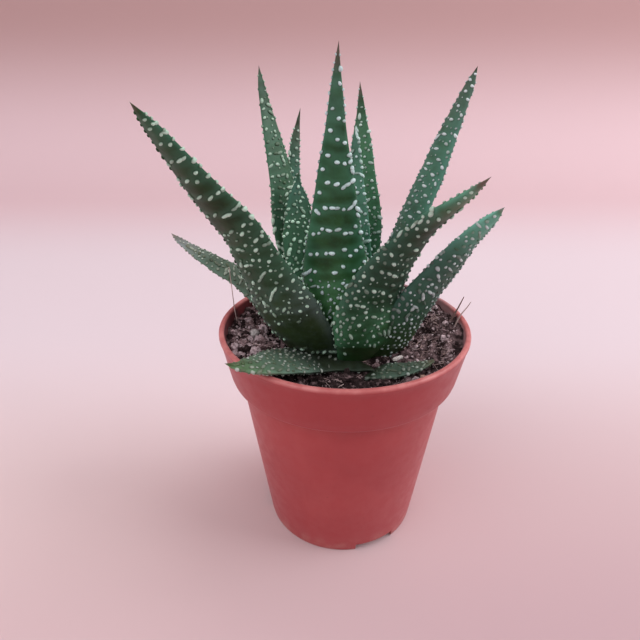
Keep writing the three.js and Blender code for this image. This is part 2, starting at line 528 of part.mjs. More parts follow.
const group = new THREE.Group();
group.name = "potted_haworthia";
function addPiece(name, solid, colour, roughness) {
  const mesh = new THREE.Mesh(toGeometry(solid), new THREE.MeshStandardMaterial({ color: colour, roughness, metalness: 0 }));
  mesh.name = name;
  mesh.material.name = name;
  group.add(mesh);
}
addPiece("pot", pot, 0xa34a4d, 0.55);
addPiece("potting_mix", mix, 0x3a2c29, 0.95);
addPiece("stem_and_roots", stem, 0xb09a72, 0.8);
for (const [name, solid] of Object.entries(leafSolids)) addPiece(name, solid, LEAF_COLOURS[name] ?? 0x37624a, 0.45);
addPiece("bark_chip", bits.bark_chip, 0xbfae98, 0.9);
addPiece("grey_clod", bits.grey_clod, 0x8a7d78, 0.95);
addPiece("tan_chip", bits.tan_chip, 0x9a7a58, 0.9);

// The origin is the middle of the underside of the whole plant's bounding box.
const box = new THREE.Box3().setFromObject(group);
const shift = new THREE.Vector3(-(box.min.x + box.max.x) / 2, -(box.min.y + box.max.y) / 2, -box.min.z);
for (const mesh of group.children) mesh.geometry.translate(shift.x, shift.y, shift.z);

export default group;
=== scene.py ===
"""Looks of the potted haworthia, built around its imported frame. Metres, +Z up, the row's frame."""
import math

import bmesh
import bpy
import numpy as np
from mathutils import Matrix, Vector


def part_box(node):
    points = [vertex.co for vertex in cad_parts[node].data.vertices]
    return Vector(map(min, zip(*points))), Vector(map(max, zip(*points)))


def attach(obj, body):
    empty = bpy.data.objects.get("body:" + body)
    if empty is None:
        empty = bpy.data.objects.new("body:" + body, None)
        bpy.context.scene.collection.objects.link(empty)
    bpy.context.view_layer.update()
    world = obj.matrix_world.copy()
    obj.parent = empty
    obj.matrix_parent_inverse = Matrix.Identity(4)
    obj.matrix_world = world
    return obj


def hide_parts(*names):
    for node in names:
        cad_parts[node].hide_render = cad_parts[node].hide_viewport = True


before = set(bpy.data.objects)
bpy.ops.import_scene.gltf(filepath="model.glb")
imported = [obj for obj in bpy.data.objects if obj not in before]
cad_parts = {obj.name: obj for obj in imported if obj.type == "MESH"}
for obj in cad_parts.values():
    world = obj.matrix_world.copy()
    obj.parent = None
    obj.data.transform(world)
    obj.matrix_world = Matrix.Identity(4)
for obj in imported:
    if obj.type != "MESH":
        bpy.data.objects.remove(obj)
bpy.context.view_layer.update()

# ------------------------------------------------------------------ where things are
_lo, _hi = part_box("pot")
AXIS = np.array([(_lo.x + _hi.x) / 2, (_lo.y + _hi.y) / 2, 0.0])  # the pot's axis in the row frame
MM = 0.001


def place(points):
    """Millimetres about the pot's axis, to metres in the row frame."""
    return np.asarray(points, float) * MM + AXIS


# ------------------------------------------------------------------ numbers of the object, in mm
# Pot
POT_TOP_RADIUS = 27.5
POT_HEIGHT = 51.4
POT_FOOT_RADIUS = 17.95
COLLAR_STEP_Z = 40.3
COLLAR_FOOT_RADIUS = 25.35
BODY_TOP_RADIUS = 23.45
COLLAR_TOP_RADIUS = 27.3
LIP_HEIGHT = 1.1
WALL = 0.95
BASE_RAISE = 2.0
BASE_THICKNESS = 1.2
FOOT_RING_INNER_RADIUS = 16.5
FOOT_NOTCH_AZIMUTHS = (55, 175, 295)
FOOT_NOTCH_WIDTH = 9.8
FOOT_NOTCH_HEIGHT = 1.9
DRAIN_HOLES = 6
DRAIN_HOLE_RADIUS = 1.8
DRAIN_CIRCLE_RADIUS = 12
POT_SEGMENTS = 180

# Potting mix
MIX_TOP_Z = 46.0
MIX_LUMP_HEIGHT = 0.8
MIX_EDGE_RISE = 2.0
MIX_WALL_RISE = 0.9
MIX_RIGHT_RISE = 1.0

# Leaves: azimuth, roll, upper, lower, keel, and stations (x, y, z, width) from the tip to the foot.
# Azimuth is where the leaf leans to, anticlockwise from +X; roll turns it about its own length.
# Upper and lower are the rise of its inner and outer faces as shares of its width.
LEAVES = {
    "leaf_heart": (200, 0, 0.14, 0.42, 0.1, [
        (1.2, -0.6, 76, 0), (1.1, -0.51, 74.17, 1.23), (0.97, -0.43, 72.07, 2.46), (0.83, -0.37, 69.87, 3.51),
        (0.68, -0.31, 67.59, 4.44), (0.54, -0.23, 65.24, 5.2), (0.42, -0.12, 62.85, 5.82), (0.3, -0, 60.43, 6.36),
        (0.2, 0.1, 57.96, 6.6), (0.1, 0.17, 55.46, 6.52), (0.02, 0.2, 52.93, 6.3), (-0.02, 0.2, 50.38, 5.83),
        (0, 0.2, 47.8, 4.8)]),
    "leaf_inner_left": (150, -22, 0.12, 0.34, 0.1, [
        (-9.64, 6, 83.03, 0), (-9.86, 5.54, 80.7, 1.5), (-9.83, 5.03, 78.01, 4.57), (-9.72, 4.49, 75.16, 6.64),
        (-9.6, 3.93, 72.2, 8.04), (-9.4, 3.37, 69.17, 8.81), (-8.87, 2.93, 66.15, 9.08), (-7.83, 2.67, 63.17, 9.08),
        (-6.47, 2.52, 60.21, 9.06), (-5.01, 2.4, 57.23, 9.04), (-3.69, 2.21, 54.17, 8.98), (-2.76, 1.84, 50.98, 8.17),
        (-2.5, 1.2, 47.6, 6.5)]),
    "leaf_inner_right": (48, 0, 0.12, 0.34, 0.1, [
        (2.24, 8, 92.09, 0), (2.04, 7.43, 89.23, 1.65), (2.04, 6.76, 85.95, 2.5), (2.2, 6.05, 82.5, 3.43),
        (2.44, 5.33, 78.92, 4.23), (2.65, 4.62, 75.24, 5.07), (2.84, 3.97, 71.47, 5.75), (2.99, 3.4, 67.63, 6.34),
        (3.1, 2.91, 63.71, 7.32), (3.15, 2.46, 59.74, 8.37), (3.11, 2.02, 55.72, 8.95), (2.97, 1.55, 51.67, 8.33),
        (2.7, 1, 47.6, 6.5)]),
    "leaf_rear_left_inner": (112, 0, 0.12, 0.36, 0.2, [
        (-9.56, 22, 93.99, 0), (-10.12, 20.38, 90.99, 0.91), (-10.65, 18.56, 87.56, 2.02), (-11.03, 16.66, 83.94, 2.5),
        (-11.17, 14.65, 80.18, 3.17), (-11.03, 12.53, 76.31, 4.35), (-10.77, 10.42, 72.36, 4.84), (-10.55, 8.5, 68.36, 5.24),
        (-10, 6.98, 64.31, 6.3), (-8.42, 6.08, 60.2, 7.73), (-5.11, 6.03, 56.05, 8.8), (0.26, 6.89, 51.81, 8.65),
        (-1.7, 4.6, 47, 7)]),
    "leaf_rear_centre": (72, 0, 0.12, 0.34, 0.2, [
        (3.24, 17, 99.5, 0), (3.43, 16.05, 96.11, 1.16), (3.62, 14.98, 92.23, 2.36), (3.81, 13.85, 88.17, 3.86),
        (4.42, 12.74, 84, 4.01), (4.67, 11.59, 79.65, 4.73), (5.15, 10.37, 75.2, 5.72), (5.28, 9.3, 70.65, 6.28),
        (4.88, 8.43, 66.02, 6.86), (4.15, 7.66, 61.33, 8.34), (3.29, 6.86, 56.59, 9.69), (2.53, 5.92, 51.8, 9.51),
        (2.1, 4.7, 47, 7)]),
    "leaf_front_centre": (266, 0, 0.1, 0.34, 0.25, [
        (-2.45, -17, 106.02, 0), (-2.62, -16.1, 102.15, 1.14), (-2.66, -15.13, 97.7, 2.37), (-2.71, -14.18, 93.01, 3.62),
        (-2.75, -13.25, 88.14, 5.36), (-2.61, -12.34, 83.13, 7.16), (-2.48, -11.52, 77.99, 8.85), (-2.52, -10.77, 72.75, 10.72),
        (-2.23, -9.88, 67.48, 12.23), (-1.66, -8.8, 62.2, 12.89), (-0.98, -7.56, 56.9, 12.67), (-0.39, -6.15, 51.57, 12.09),
        (-0.1, -4.6, 46.2, 8.5)]),
    "leaf_left_rear": (138, 0, 0.12, 0.34, 0.2, [
        (-17.62, 14, 102.6, 0), (-17.16, 13.14, 98.88, 1.76), (-16.36, 12.19, 94.68, 2.97), (-15.37, 11.21, 90.28, 4.4),
        (-14.36, 10.21, 85.71, 5.6), (-13.54, 9.19, 80.98, 6.58), (-13.03, 8.15, 76.11, 6.96), (-12.53, 7.21, 71.17, 7.49),
        (-11.28, 6.53, 66.32, 8.29), (-9.34, 6.02, 61.52, 9.14), (-7.17, 5.5, 56.7, 9.8), (-5.28, 4.77, 51.76, 9.69),
        (-4.2, 3.6, 46.6, 7)]),
    "leaf_right_rear": (22, 0, 0.12, 0.36, 0.2, [
        (26.35, 12, 102.41, 0), (24.88, 11.35, 98.77, 3.06), (23.16, 10.61, 94.61, 4.59), (21.36, 9.86, 90.21, 6.07),
        (19.58, 9.1, 85.62, 7.52), (17.91, 8.33, 80.86, 8.53), (15.91, 7.58, 76.11, 9.15), (14.48, 6.84, 71.16, 11.22),
        (12.6, 6.08, 66.5, 11.93), (9.96, 5.5, 61.89, 11.6), (8.31, 5, 56.61, 11.13), (6.96, 4.25, 51.15, 10.2),
        (5.2, 2.9, 46, 7.5)]),
    "leaf_left_front": (232, 20, 0.12, 0.4, 0.2, [
        (-28.11, -36, 98.96, 0), (-27.12, -32.77, 96.15, 2.21), (-25.84, -29.35, 92.69, 3.61), (-24.28, -26.04, 88.85, 4.97),
        (-22.38, -22.91, 84.75, 6.57), (-20.09, -19.99, 80.51, 8.08), (-17.8, -17.27, 76.03, 8.5), (-16.12, -14.79, 71.05, 9.82),
        (-14.05, -12.67, 65.96, 11.38), (-11.88, -10.9, 60.66, 13.27), (-9.63, -9.24, 55.27, 13.49), (-7.28, -7.37, 49.94, 11.92),
        (-4.8, -5, 44.8, 8.5)]),
    "leaf_right_front": (293, 0, 0.12, 0.38, 0.15, [
        (18.88, -29, 88.65, 0), (17.38, -26.8, 86.38, 2.36), (15.43, -24.41, 83.81, 4.32), (13.12, -22.08, 81.14, 6.31),
        (11.01, -19.92, 78.02, 6.71), (9.04, -17.92, 74.52, 8.74), (7.13, -16.07, 70.77, 10.57), (5.45, -14.35, 66.78, 12.4),
        (4.24, -12.74, 62.54, 13.08), (3.83, -11.24, 58.06, 14.63), (4.43, -9.82, 53.46, 15.02), (3.71, -7.96, 49.08, 12.23),
        (3, -6, 44.6, 8.5)]),
    "leaf_rear_low_centre": (91, 0, 0.12, 0.38, 0.2, [
        (-1, 32, 61.5, 0), (-0.83, 29.9, 61.77, 1.99), (-0.65, 27.54, 61.63, 3.9), (-0.49, 25.13, 61.06, 5.39),
        (-0.34, 22.71, 60.12, 6.61), (-0.19, 20.33, 58.9, 7.68), (-0.04, 18, 57.51, 8.69), (0.11, 15.74, 55.96, 9.57),
        (0.24, 13.51, 54.25, 10.15), (0.34, 11.36, 52.38, 10.59), (0.4, 9.45, 50.26, 10.8), (0.42, 7.94, 47.83, 9.98),
        (0.4, 7, 45, 8)]),
    "leaf_rear_low_left": (125, 0, 0.12, 0.38, 0.2, [
        (-18, 26.5, 58.5, 0), (-17.23, 24.71, 58.61, 1.62), (-16.23, 22.76, 58.45, 3.25), (-15.08, 20.82, 58.02, 4.66),
        (-13.84, 18.9, 57.34, 5.87), (-12.54, 17, 56.46, 6.94), (-11.26, 15.11, 55.44, 7.93), (-9.99, 13.24, 54.27, 8.86),
        (-8.74, 11.42, 52.93, 9.52), (-7.52, 9.69, 51.38, 9.98), (-6.38, 8.17, 49.56, 10.2), (-5.38, 6.96, 47.42, 9.39),
        (-4.6, 6.2, 44.9, 7.5)]),
    "leaf_rear_low_right": (58, 0, 0.12, 0.38, 0.2, [
        (16, 26, 58, 0), (15.36, 24.28, 58.05, 1.64), (14.56, 22.39, 57.85, 3.29), (13.64, 20.48, 57.4, 4.69),
        (12.62, 18.59, 56.73, 5.87), (11.53, 16.74, 55.87, 6.91), (10.38, 14.92, 54.9, 7.9), (9.24, 13.12, 53.81, 8.84),
        (8.16, 11.34, 52.55, 9.52), (7.22, 9.57, 51.1, 9.98), (6.39, 7.98, 49.38, 10.2), (5.63, 6.79, 47.34, 9.4),
        (4.9, 6.2, 44.9, 7.5)]),
    "leaf_left_low": (155, 0, 0.12, 0.38, 0.2, [
        (-40.85, 17, 66.61, 0), (-38.64, 15.83, 65.18, 2.19), (-35.98, 14.5, 63.8, 3.43), (-33.08, 13.09, 62.53, 5.04),
        (-30.03, 11.62, 61.31, 6.09), (-26.94, 10.11, 60.03, 7.04), (-23.87, 8.56, 58.58, 7.1), (-20.89, 6.95, 56.91, 7.76),
        (-18, 5.25, 54.99, 8.5), (-15.22, 3.44, 52.84, 8.91), (-12.02, 2.14, 51.17, 9.36), (-9.99, 2.22, 47.26, 10.05),
        (-7.2, 1.8, 44.4, 7.5)]),
    "leaf_right_low": (327, -30, 0.12, 0.38, 0.2, [
        (25.73, -17, 81.28, 0), (24.12, -16.04, 79.1, 3.43), (22.29, -14.98, 76.58, 4.98), (20.52, -13.92, 73.81, 6.03),
        (18.88, -12.89, 70.81, 7.46), (17.28, -11.87, 67.67, 8.43), (15.56, -10.86, 64.53, 9.33), (13.81, -9.88, 61.31, 10.37),
        (12.35, -9, 57.85, 10.23), (11.09, -8.11, 54.24, 9.98), (9.85, -6.99, 50.66, 9.85), (8.54, -5.47, 47.23, 9.92),
        (7.2, -3.8, 43.8, 7.5)]),
    "leaf_front_low_left": (228, -6, 0.1, 0.36, 0.25, [
        (-22.52, -23.21, 54.6, 0), (-20.1, -23.42, 54.22, 3.23), (-17.87, -22.32, 53.56, 5.57), (-15.98, -20.39, 52.66, 7.1),
        (-14.32, -18.12, 51.6, 8.45), (-12.71, -15.72, 50.45, 9.67), (-10.95, -13.4, 49.32, 10.54), (-8.79, -11.4, 48.32, 10.48),
        (-6.01, -9.96, 47.57, 9.96), (-2.72, -9.11, 47.01, 8.97), (0.62, -8.67, 46.42, 8.46), (3.49, -8.45, 45.57, 9.51),
        (3.4, -7.4, 43.6, 6.5)]),
    "leaf_front_low_right": (318, 0, 0.1, 0.36, 0.25, [
        (18.21, -11.74, 48.6, 0), (17.29, -12.11, 48.28, 2.47), (16.15, -12.47, 47.97, 3.92), (14.87, -12.76, 47.68, 4.71),
        (13.49, -12.95, 47.43, 5.29), (12.06, -13.04, 47.18, 5.96), (10.62, -12.98, 46.92, 6.68), (9.21, -12.77, 46.63, 7.26),
        (7.9, -12.39, 46.27, 7.72), (6.74, -11.82, 45.8, 8.09), (5.79, -11.04, 45.2, 7.85), (5.12, -10.04, 44.41, 6.89),
        (4.8, -8.8, 43.4, 6)]),
}

# Tubercles read on the seen side of each leaf: share of the length from the tip, angle round the
# section, half sizes round and along the leaf in mm, and turn in degrees.
SEEN_TUBERCLES = {
    "leaf_front_centre": [
        (0.0634, 5.702, 0.43, 0.26, 77), (0.0967, 5.315, 0.33, 0.22, 70), (0.1394, 1.077, 0.28, 0.27, 74), (0.1568, 4.298, 0.29, 0.22, 153), (0.1808, 5.012, 0.31, 0.27, 77),
        (0.1881, 5.714, 0.29, 0.21, 19), (0.2121, 4.261, 0.4, 0.27, 3), (0.2348, 4.891, 0.32, 0.26, 165), (0.2442, 5.52, 0.38, 0.25, 4), (0.2735, 3.402, 0.43, 0.23, 137),
        (0.2782, 4.237, 0.43, 0.29, 175), (0.2782, 6.15, 0.7, 0.57, 171), (0.2955, 4.867, 0.46, 0.28, 175), (0.2969, 5.908, 0.46, 0.33, 139), (0.3002, 5.351, 0.36, 0.28, 5),
        (0.3169, 3.935, 0.38, 0.27, 155), (0.3175, 6.162, 0.58, 0.42, 69), (0.3269, 6.138, 0.54, 0.34, 64), (0.3522, 5.896, 0.55, 0.32, 144), (0.3529, 4.334, 0.48, 0.29, 176),
        (0.3569, 4.818, 0.51, 0.31, 155), (0.3602, 5.436, 0.76, 0.26, 157), (0.3676, 5.157, 0.55, 0.26, 142), (0.3836, 3.874, 0.38, 0.29, 169), (0.4169, 5.751, 0.59, 0.29, 126),
        (0.4263, 4.6, 0.57, 0.27, 3), (0.427, 4.794, 0.5, 0.29, 176), (0.4276, 4.261, 0.51, 0.32, 29), (0.4276, 5.472, 0.8, 0.26, 146), (0.4316, 5.085, 0.31, 0.28, 5),
        (0.437, 6.077, 0.79, 0.3, 42), (0.441, 3.789, 0.58, 0.29, 39), (0.4443, 3.886, 0.57, 0.28, 41), (0.4536, 5.956, 0.54, 0.25, 61), (0.485, 5.642, 0.38, 0.3, 164),
        (0.4923, 4.83, 0.66, 0.29, 158), (0.4937, 4.201, 0.35, 0.28, 173), (0.4963, 4.479, 0.62, 0.29, 15), (0.5037, 5.351, 0.47, 0.29, 9), (0.5043, 5.121, 0.52, 0.27, 170),
        (0.507, 6.077, 0.53, 0.33, 33), (0.5083, 4.08, 0.29, 0.27, 6), (0.5137, 3.813, 0.36, 0.34, 169), (0.5537, 5.823, 0.39, 0.27, 47), (0.5557, 5.06, 0.52, 0.34, 178),
        (0.5624, 5.52, 0.41, 0.33, 158), (0.5664, 2.058, 0.38, 0.37, 38), (0.567, 4.625, 0.62, 0.3, 179), (0.5684, 4.431, 0.39, 0.28, 152), (0.573, 4.08, 0.35, 0.34, 96),
        (0.5771, 3.777, 0.43, 0.33, 13), (0.5777, 5.254, 0.35, 0.31, 58), (0.6071, 5.872, 0.39, 0.28, 45), (0.6124, 4.976, 0.4, 0.32, 34), (0.6291, 5.642, 0.54, 0.34, 14),
        (0.6304, 4.031, 0.37, 0.31, 112), (0.6318, 4.697, 0.61, 0.31, 173), (0.6318, 5.339, 0.39, 0.28, 170), (0.6324, 3.777, 0.8, 0.27, 134), (0.6358, 2.058, 0.36, 0.34, 172),
        (0.6418, 3.596, 0.8, 0.36, 143), (0.6518, 1.852, 0.41, 0.35, 172), (0.6611, 3.862, 0.34, 0.28, 2), (0.6711, 4.927, 0.35, 0.34, 27), (0.6778, 4.479, 0.4, 0.25, 111),
        (0.6811, 5.036, 0.56, 0.27, 167), (0.6825, 3.959, 0.7, 0.23, 155), (0.6825, 4.14, 0.33, 0.24, 57), (0.6911, 4.782, 0.34, 0.27, 74), (0.6958, 2.022, 0.61, 0.31, 155),
        (0.6998, 4.879, 0.28, 0.24, 115), (0.7031, 4.261, 0.5, 0.27, 88), (0.7138, 3.826, 0.44, 0.33, 136), (0.7165, 1.707, 0.41, 0.29, 71), (0.7231, 4.734, 0.49, 0.32, 5),
        (0.7285, 4.504, 0.37, 0.35, 141), (0.7432, 4.6, 0.3, 0.24, 112), (0.7465, 2.179, 0.42, 0.22, 77), (0.7512, 4.128, 0.42, 0.22, 105), (0.7765, 4.419, 0.8, 0.24, 122),
        (0.7859, 4.516, 0.34, 0.23, 114), (0.8045, 4.382, 0.41, 0.28, 55),
    ],
    "leaf_left_front": [
        (0.0454, 5.048, 0.27, 0.2, 129), (0.0607, 5.581, 0.24, 0.21, 159), (0.0647, 0.085, 0.59, 0.2, 43), (0.0694, 4.794, 0.35, 0.2, 144), (0.0867, 0.169, 0.62, 0.2, 43),
        (0.0901, 5.387, 0.29, 0.2, 139), (0.0941, 0.085, 0.8, 0.21, 45), (0.1121, 4.709, 0.37, 0.2, 132), (0.1147, 0.145, 0.62, 0.2, 42), (0.1201, 5.387, 0.35, 0.23, 143),
        (0.1461, 0.048, 0.55, 0.2, 42), (0.1641, 5.448, 0.5, 0.23, 164), (0.1654, 5.109, 0.54, 0.26, 160), (0.1661, 4.455, 0.68, 0.2, 136), (0.1781, 3.983, 0.8, 0.35, 143),
        (0.1828, 0.012, 0.44, 0.2, 43), (0.1828, 0.012, 0.53, 0.34, 28), (0.2101, 5.424, 0.36, 0.25, 135), (0.2255, 3.862, 0.75, 0.41, 99), (0.2268, 4.54, 0.6, 0.23, 138),
        (0.2335, 5.073, 0.41, 0.28, 135), (0.2335, 6.114, 0.42, 0.28, 6), (0.2342, 0.109, 0.62, 0.22, 40), (0.2802, 4.528, 0.79, 0.23, 150), (0.2809, 3.705, 0.62, 0.58, 17),
        (0.2822, 6.247, 0.36, 0.22, 45), (0.2829, 5.605, 0.42, 0.26, 162), (0.2855, 6.186, 0.42, 0.24, 15), (0.2882, 5.036, 0.65, 0.26, 147), (0.2889, 3.801, 0.73, 0.5, 78),
        (0.3402, 6.041, 0.71, 0.24, 175), (0.3422, 6.005, 0.29, 0.24, 69), (0.3429, 5.593, 0.57, 0.25, 170), (0.3442, 4.552, 0.69, 0.24, 141), (0.3509, 3.983, 0.75, 0.49, 134),
        (0.3522, 5, 0.8, 0.29, 165), (0.3522, 5.157, 0.55, 0.28, 166), (0.3602, 6.15, 0.51, 0.38, 75), (0.3883, 6.102, 0.56, 0.32, 84), (0.3936, 6.089, 0.33, 0.25, 64),
        (0.3983, 5.339, 0.51, 0.25, 146), (0.4043, 5.714, 0.33, 0.28, 150), (0.4089, 4.625, 0.8, 0.28, 150), (0.4229, 4.08, 0.53, 0.24, 139), (0.4229, 5, 0.56, 0.3, 135),
        (0.4416, 5.981, 0.33, 0.26, 74), (0.451, 5.775, 0.38, 0.28, 94), (0.4563, 5.339, 0.62, 0.29, 146), (0.4643, 4.782, 0.47, 0.28, 125), (0.4783, 5.617, 0.5, 0.33, 176),
        (0.479, 5.908, 0.5, 0.39, 161), (0.4817, 4.298, 0.68, 0.35, 158), (0.4837, 4.491, 0.5, 0.4, 175), (0.4863, 5.085, 0.53, 0.31, 134), (0.489, 3.753, 0.73, 0.55, 67),
        (0.5163, 5.629, 0.39, 0.24, 139), (0.5197, 6.089, 0.36, 0.32, 65), (0.5203, 4.746, 0.41, 0.28, 131), (0.523, 5, 0.41, 0.25, 124), (0.5337, 5.351, 0.4, 0.29, 140),
        (0.539, 4.564, 0.43, 0.26, 151), (0.5424, 4.334, 0.72, 0.28, 159), (0.5437, 4.031, 0.73, 0.52, 106), (0.565, 4.104, 0.48, 0.22, 129), (0.5664, 5.194, 0.39, 0.27, 124),
        (0.5724, 4.249, 0.6, 0.24, 131), (0.5724, 4.879, 0.79, 0.25, 141), (0.573, 5.738, 0.36, 0.27, 125), (0.5824, 4.734, 0.8, 0.26, 137), (0.5937, 5.448, 0.54, 0.27, 144),
        (0.5957, 4.576, 0.8, 0.25, 136), (0.6077, 4.201, 0.58, 0.3, 119), (0.6131, 5.121, 0.41, 0.33, 84), (0.6217, 3.583, 0.51, 0.29, 148), (0.6258, 5.811, 0.45, 0.28, 139),
        (0.6278, 4.358, 0.5, 0.22, 134), (0.6371, 4.927, 0.8, 0.24, 140), (0.6378, 3.862, 0.53, 0.24, 129), (0.6438, 5.351, 0.35, 0.26, 111), (0.6471, 4.782, 0.8, 0.26, 137),
        (0.6498, 4.056, 0.5, 0.27, 129), (0.6578, 4.455, 0.52, 0.22, 117), (0.6584, 5.533, 0.36, 0.27, 126), (0.6591, 4.673, 0.8, 0.25, 129), (0.6644, 6.077, 0.35, 0.27, 8),
        (0.6691, 4.177, 0.45, 0.35, 113), (0.6698, 4.588, 0.8, 0.24, 127), (0.6704, 5.751, 0.3, 0.24, 104), (0.6711, 3.632, 0.42, 0.27, 117), (0.6778, 3.935, 0.4, 0.2, 137),
        (0.6871, 4.249, 0.67, 0.55, 83), (0.6885, 5.605, 0.48, 0.24, 18), (0.6918, 3.983, 0.8, 0.25, 139), (0.6925, 5.121, 0.28, 0.24, 150), (0.6938, 5.872, 0.37, 0.28, 72),
        (0.6945, 4.334, 0.64, 0.51, 42), (0.7045, 3.801, 0.8, 0.26, 139), (0.7078, 4.649, 0.48, 0.29, 138), (0.7105, 5.048, 0.35, 0.29, 167), (0.7145, 4.843, 0.8, 0.25, 138),
        (0.7165, 4.382, 0.46, 0.23, 123), (0.7205, 4.14, 0.8, 0.3, 154), (0.7231, 5.642, 0.35, 0.32, 135), (0.7265, 4.927, 0.39, 0.27, 126), (0.7318, 4.431, 0.65, 0.34, 82),
        (0.7318, 5.315, 0.38, 0.33, 24), (0.7385, 1.174, 0.5, 0.32, 30), (0.7685, 5.073, 0.49, 0.38, 156), (0.7692, 4.407, 0.51, 0.27, 139), (0.7732, 1.961, 0.8, 0.3, 50),
        (0.7825, 3.886, 0.76, 0.48, 99), (0.8172, 3.935, 0.63, 0.33, 125), (0.8386, 3.971, 0.5, 0.26, 130), (0.8472, 4.116, 0.45, 0.26, 139), (0.8913, 4.673, 0.8, 0.32, 161),
        (0.8953, 4.225, 0.6, 0.39, 153), (0.8966, 4.552, 0.8, 0.35, 161), (0.9186, 4.83, 0.68, 0.43, 130), (0.9206, 5.024, 0.63, 0.34, 123), (0.926, 5.266, 0.72, 0.48, 137),
        (0.9346, 5.593, 0.71, 0.4, 53), (0.9426, 5.811, 0.8, 0.36, 55),
    ],
    "leaf_right_front": [
        (0.0674, 4.068, 0.33, 0.22, 34), (0.0907, 4.128, 0.32, 0.24, 47), (0.1167, 4.213, 0.36, 0.24, 45), (0.1581, 4.334, 0.47, 0.25, 37), (0.1835, 3.063, 0.43, 0.37, 24),
        (0.1941, 3.583, 0.57, 0.34, 68), (0.1981, 4.382, 0.52, 0.27, 33), (0.2175, 3.366, 0.29, 0.2, 75), (0.2215, 4.031, 0.45, 0.23, 43), (0.2355, 3.632, 0.64, 0.23, 80),
        (0.2475, 3.414, 0.66, 0.2, 85), (0.2548, 4.431, 0.49, 0.27, 37), (0.2602, 3.475, 0.69, 0.2, 83), (0.2642, 3.922, 0.4, 0.24, 42), (0.2835, 3.305, 0.41, 0.26, 109),
        (0.2929, 4.419, 0.49, 0.28, 40), (0.3015, 3.668, 0.45, 0.25, 72), (0.3142, 3.148, 0.73, 0.23, 75), (0.3202, 3.208, 0.57, 0.2, 82), (0.3249, 5.182, 0.77, 0.22, 32),
        (0.3369, 4.407, 0.48, 0.29, 54), (0.3396, 3.402, 0.34, 0.22, 60), (0.3509, 3.971, 0.43, 0.24, 37), (0.3596, 5.024, 0.66, 0.3, 19), (0.3823, 3.281, 0.49, 0.46, 168),
        (0.3836, 4.443, 0.43, 0.4, 130), (0.3856, 2.978, 0.8, 0.59, 151), (0.3923, 4.007, 0.58, 0.24, 35), (0.4016, 3.002, 0.52, 0.26, 157), (0.4029, 4.903, 0.58, 0.31, 29),
        (0.4216, 3.547, 0.37, 0.26, 50), (0.4276, 4.443, 0.6, 0.27, 36), (0.4296, 4.044, 0.49, 0.25, 38), (0.4376, 5.169, 0.59, 0.35, 14), (0.4596, 3.668, 0.44, 0.26, 48),
        (0.4676, 4.213, 0.57, 0.29, 37), (0.4716, 4.54, 0.75, 0.26, 28), (0.4757, 5.448, 0.43, 0.28, 34), (0.4817, 4.806, 0.8, 0.32, 25), (0.4817, 5.182, 0.51, 0.33, 39),
        (0.501, 3.668, 0.46, 0.27, 55), (0.503, 4.068, 0.61, 0.26, 37), (0.5237, 3.22, 0.36, 0.28, 92), (0.5237, 5.605, 0.8, 0.31, 40), (0.527, 4.964, 0.66, 0.36, 19),
        (0.541, 5.351, 0.8, 0.3, 50), (0.545, 3.608, 0.37, 0.27, 60), (0.553, 3.305, 0.76, 0.28, 111), (0.5544, 4.395, 0.57, 0.35, 42), (0.559, 4.152, 0.78, 0.29, 41),
        (0.5617, 4.721, 0.6, 0.34, 38), (0.5624, 3.862, 0.34, 0.25, 49), (0.5677, 1.271, 0.66, 0.34, 130), (0.5771, 3.668, 0.39, 0.2, 69), (0.5857, 5.073, 0.6, 0.35, 44),
        (0.5911, 3.39, 0.36, 0.3, 84), (0.5951, 3.898, 0.42, 0.28, 60), (0.6077, 4.855, 0.54, 0.31, 40), (0.6104, 4.613, 0.67, 0.33, 27), (0.6131, 3.62, 0.4, 0.32, 172),
        (0.6171, 5.266, 0.57, 0.26, 49), (0.6177, 3.075, 0.8, 0.27, 134), (0.6237, 4.08, 0.57, 0.3, 26), (0.6271, 4.274, 0.56, 0.32, 20), (0.6284, 3.85, 0.38, 0.29, 67),
        (0.6544, 3.22, 0.46, 0.33, 153), (0.6558, 4.431, 0.43, 0.35, 40), (0.6571, 4.976, 0.5, 0.3, 54), (0.6664, 3.705, 0.37, 0.27, 65), (0.6778, 3.462, 0.28, 0.23, 146),
        (0.6785, 5.23, 0.48, 0.27, 48), (0.6798, 4.104, 0.44, 0.31, 36), (0.6811, 4.504, 0.31, 0.26, 36), (0.6845, 4.734, 0.7, 0.33, 20), (0.6858, 3.91, 0.36, 0.27, 61),
        (0.6958, 3.68, 0.31, 0.22, 80), (0.7058, 4.964, 0.41, 0.26, 58), (0.7065, 3.317, 0.37, 0.25, 139), (0.7118, 4.322, 0.42, 0.34, 44), (0.7125, 3.717, 0.39, 0.25, 86),
        (0.7158, 4.056, 0.42, 0.28, 76), (0.7285, 3.535, 0.45, 0.24, 97), (0.7385, 4.479, 0.36, 0.28, 78), (0.7392, 4.988, 0.45, 0.23, 68), (0.7412, 3.717, 0.35, 0.26, 103),
        (0.7458, 4.843, 0.43, 0.28, 60), (0.7472, 5.182, 0.67, 0.27, 40), (0.7545, 4.068, 0.8, 0.26, 75), (0.7839, 4.697, 0.46, 0.25, 71), (0.7879, 4.891, 0.79, 0.26, 53),
        (0.7892, 5.23, 0.73, 0.38, 94), (0.7939, 5.036, 0.8, 0.28, 87), (0.7992, 4.516, 0.5, 0.23, 91), (0.7999, 5.182, 0.77, 0.39, 100), (0.8145, 1.441, 0.58, 0.33, 122),
        (0.8272, 4.613, 0.45, 0.22, 73), (0.8359, 4.758, 0.8, 0.28, 69), (0.8859, 3.789, 0.56, 0.38, 76),
    ],
    "leaf_right_rear": [
        (0.0287, 2.373, 0.31, 0.2, 23), (0.048, 1.55, 0.61, 0.24, 19), (0.0674, 2.554, 0.38, 0.25, 37), (0.0861, 1.743, 0.53, 0.24, 4), (0.1107, 2.651, 0.37, 0.23, 33),
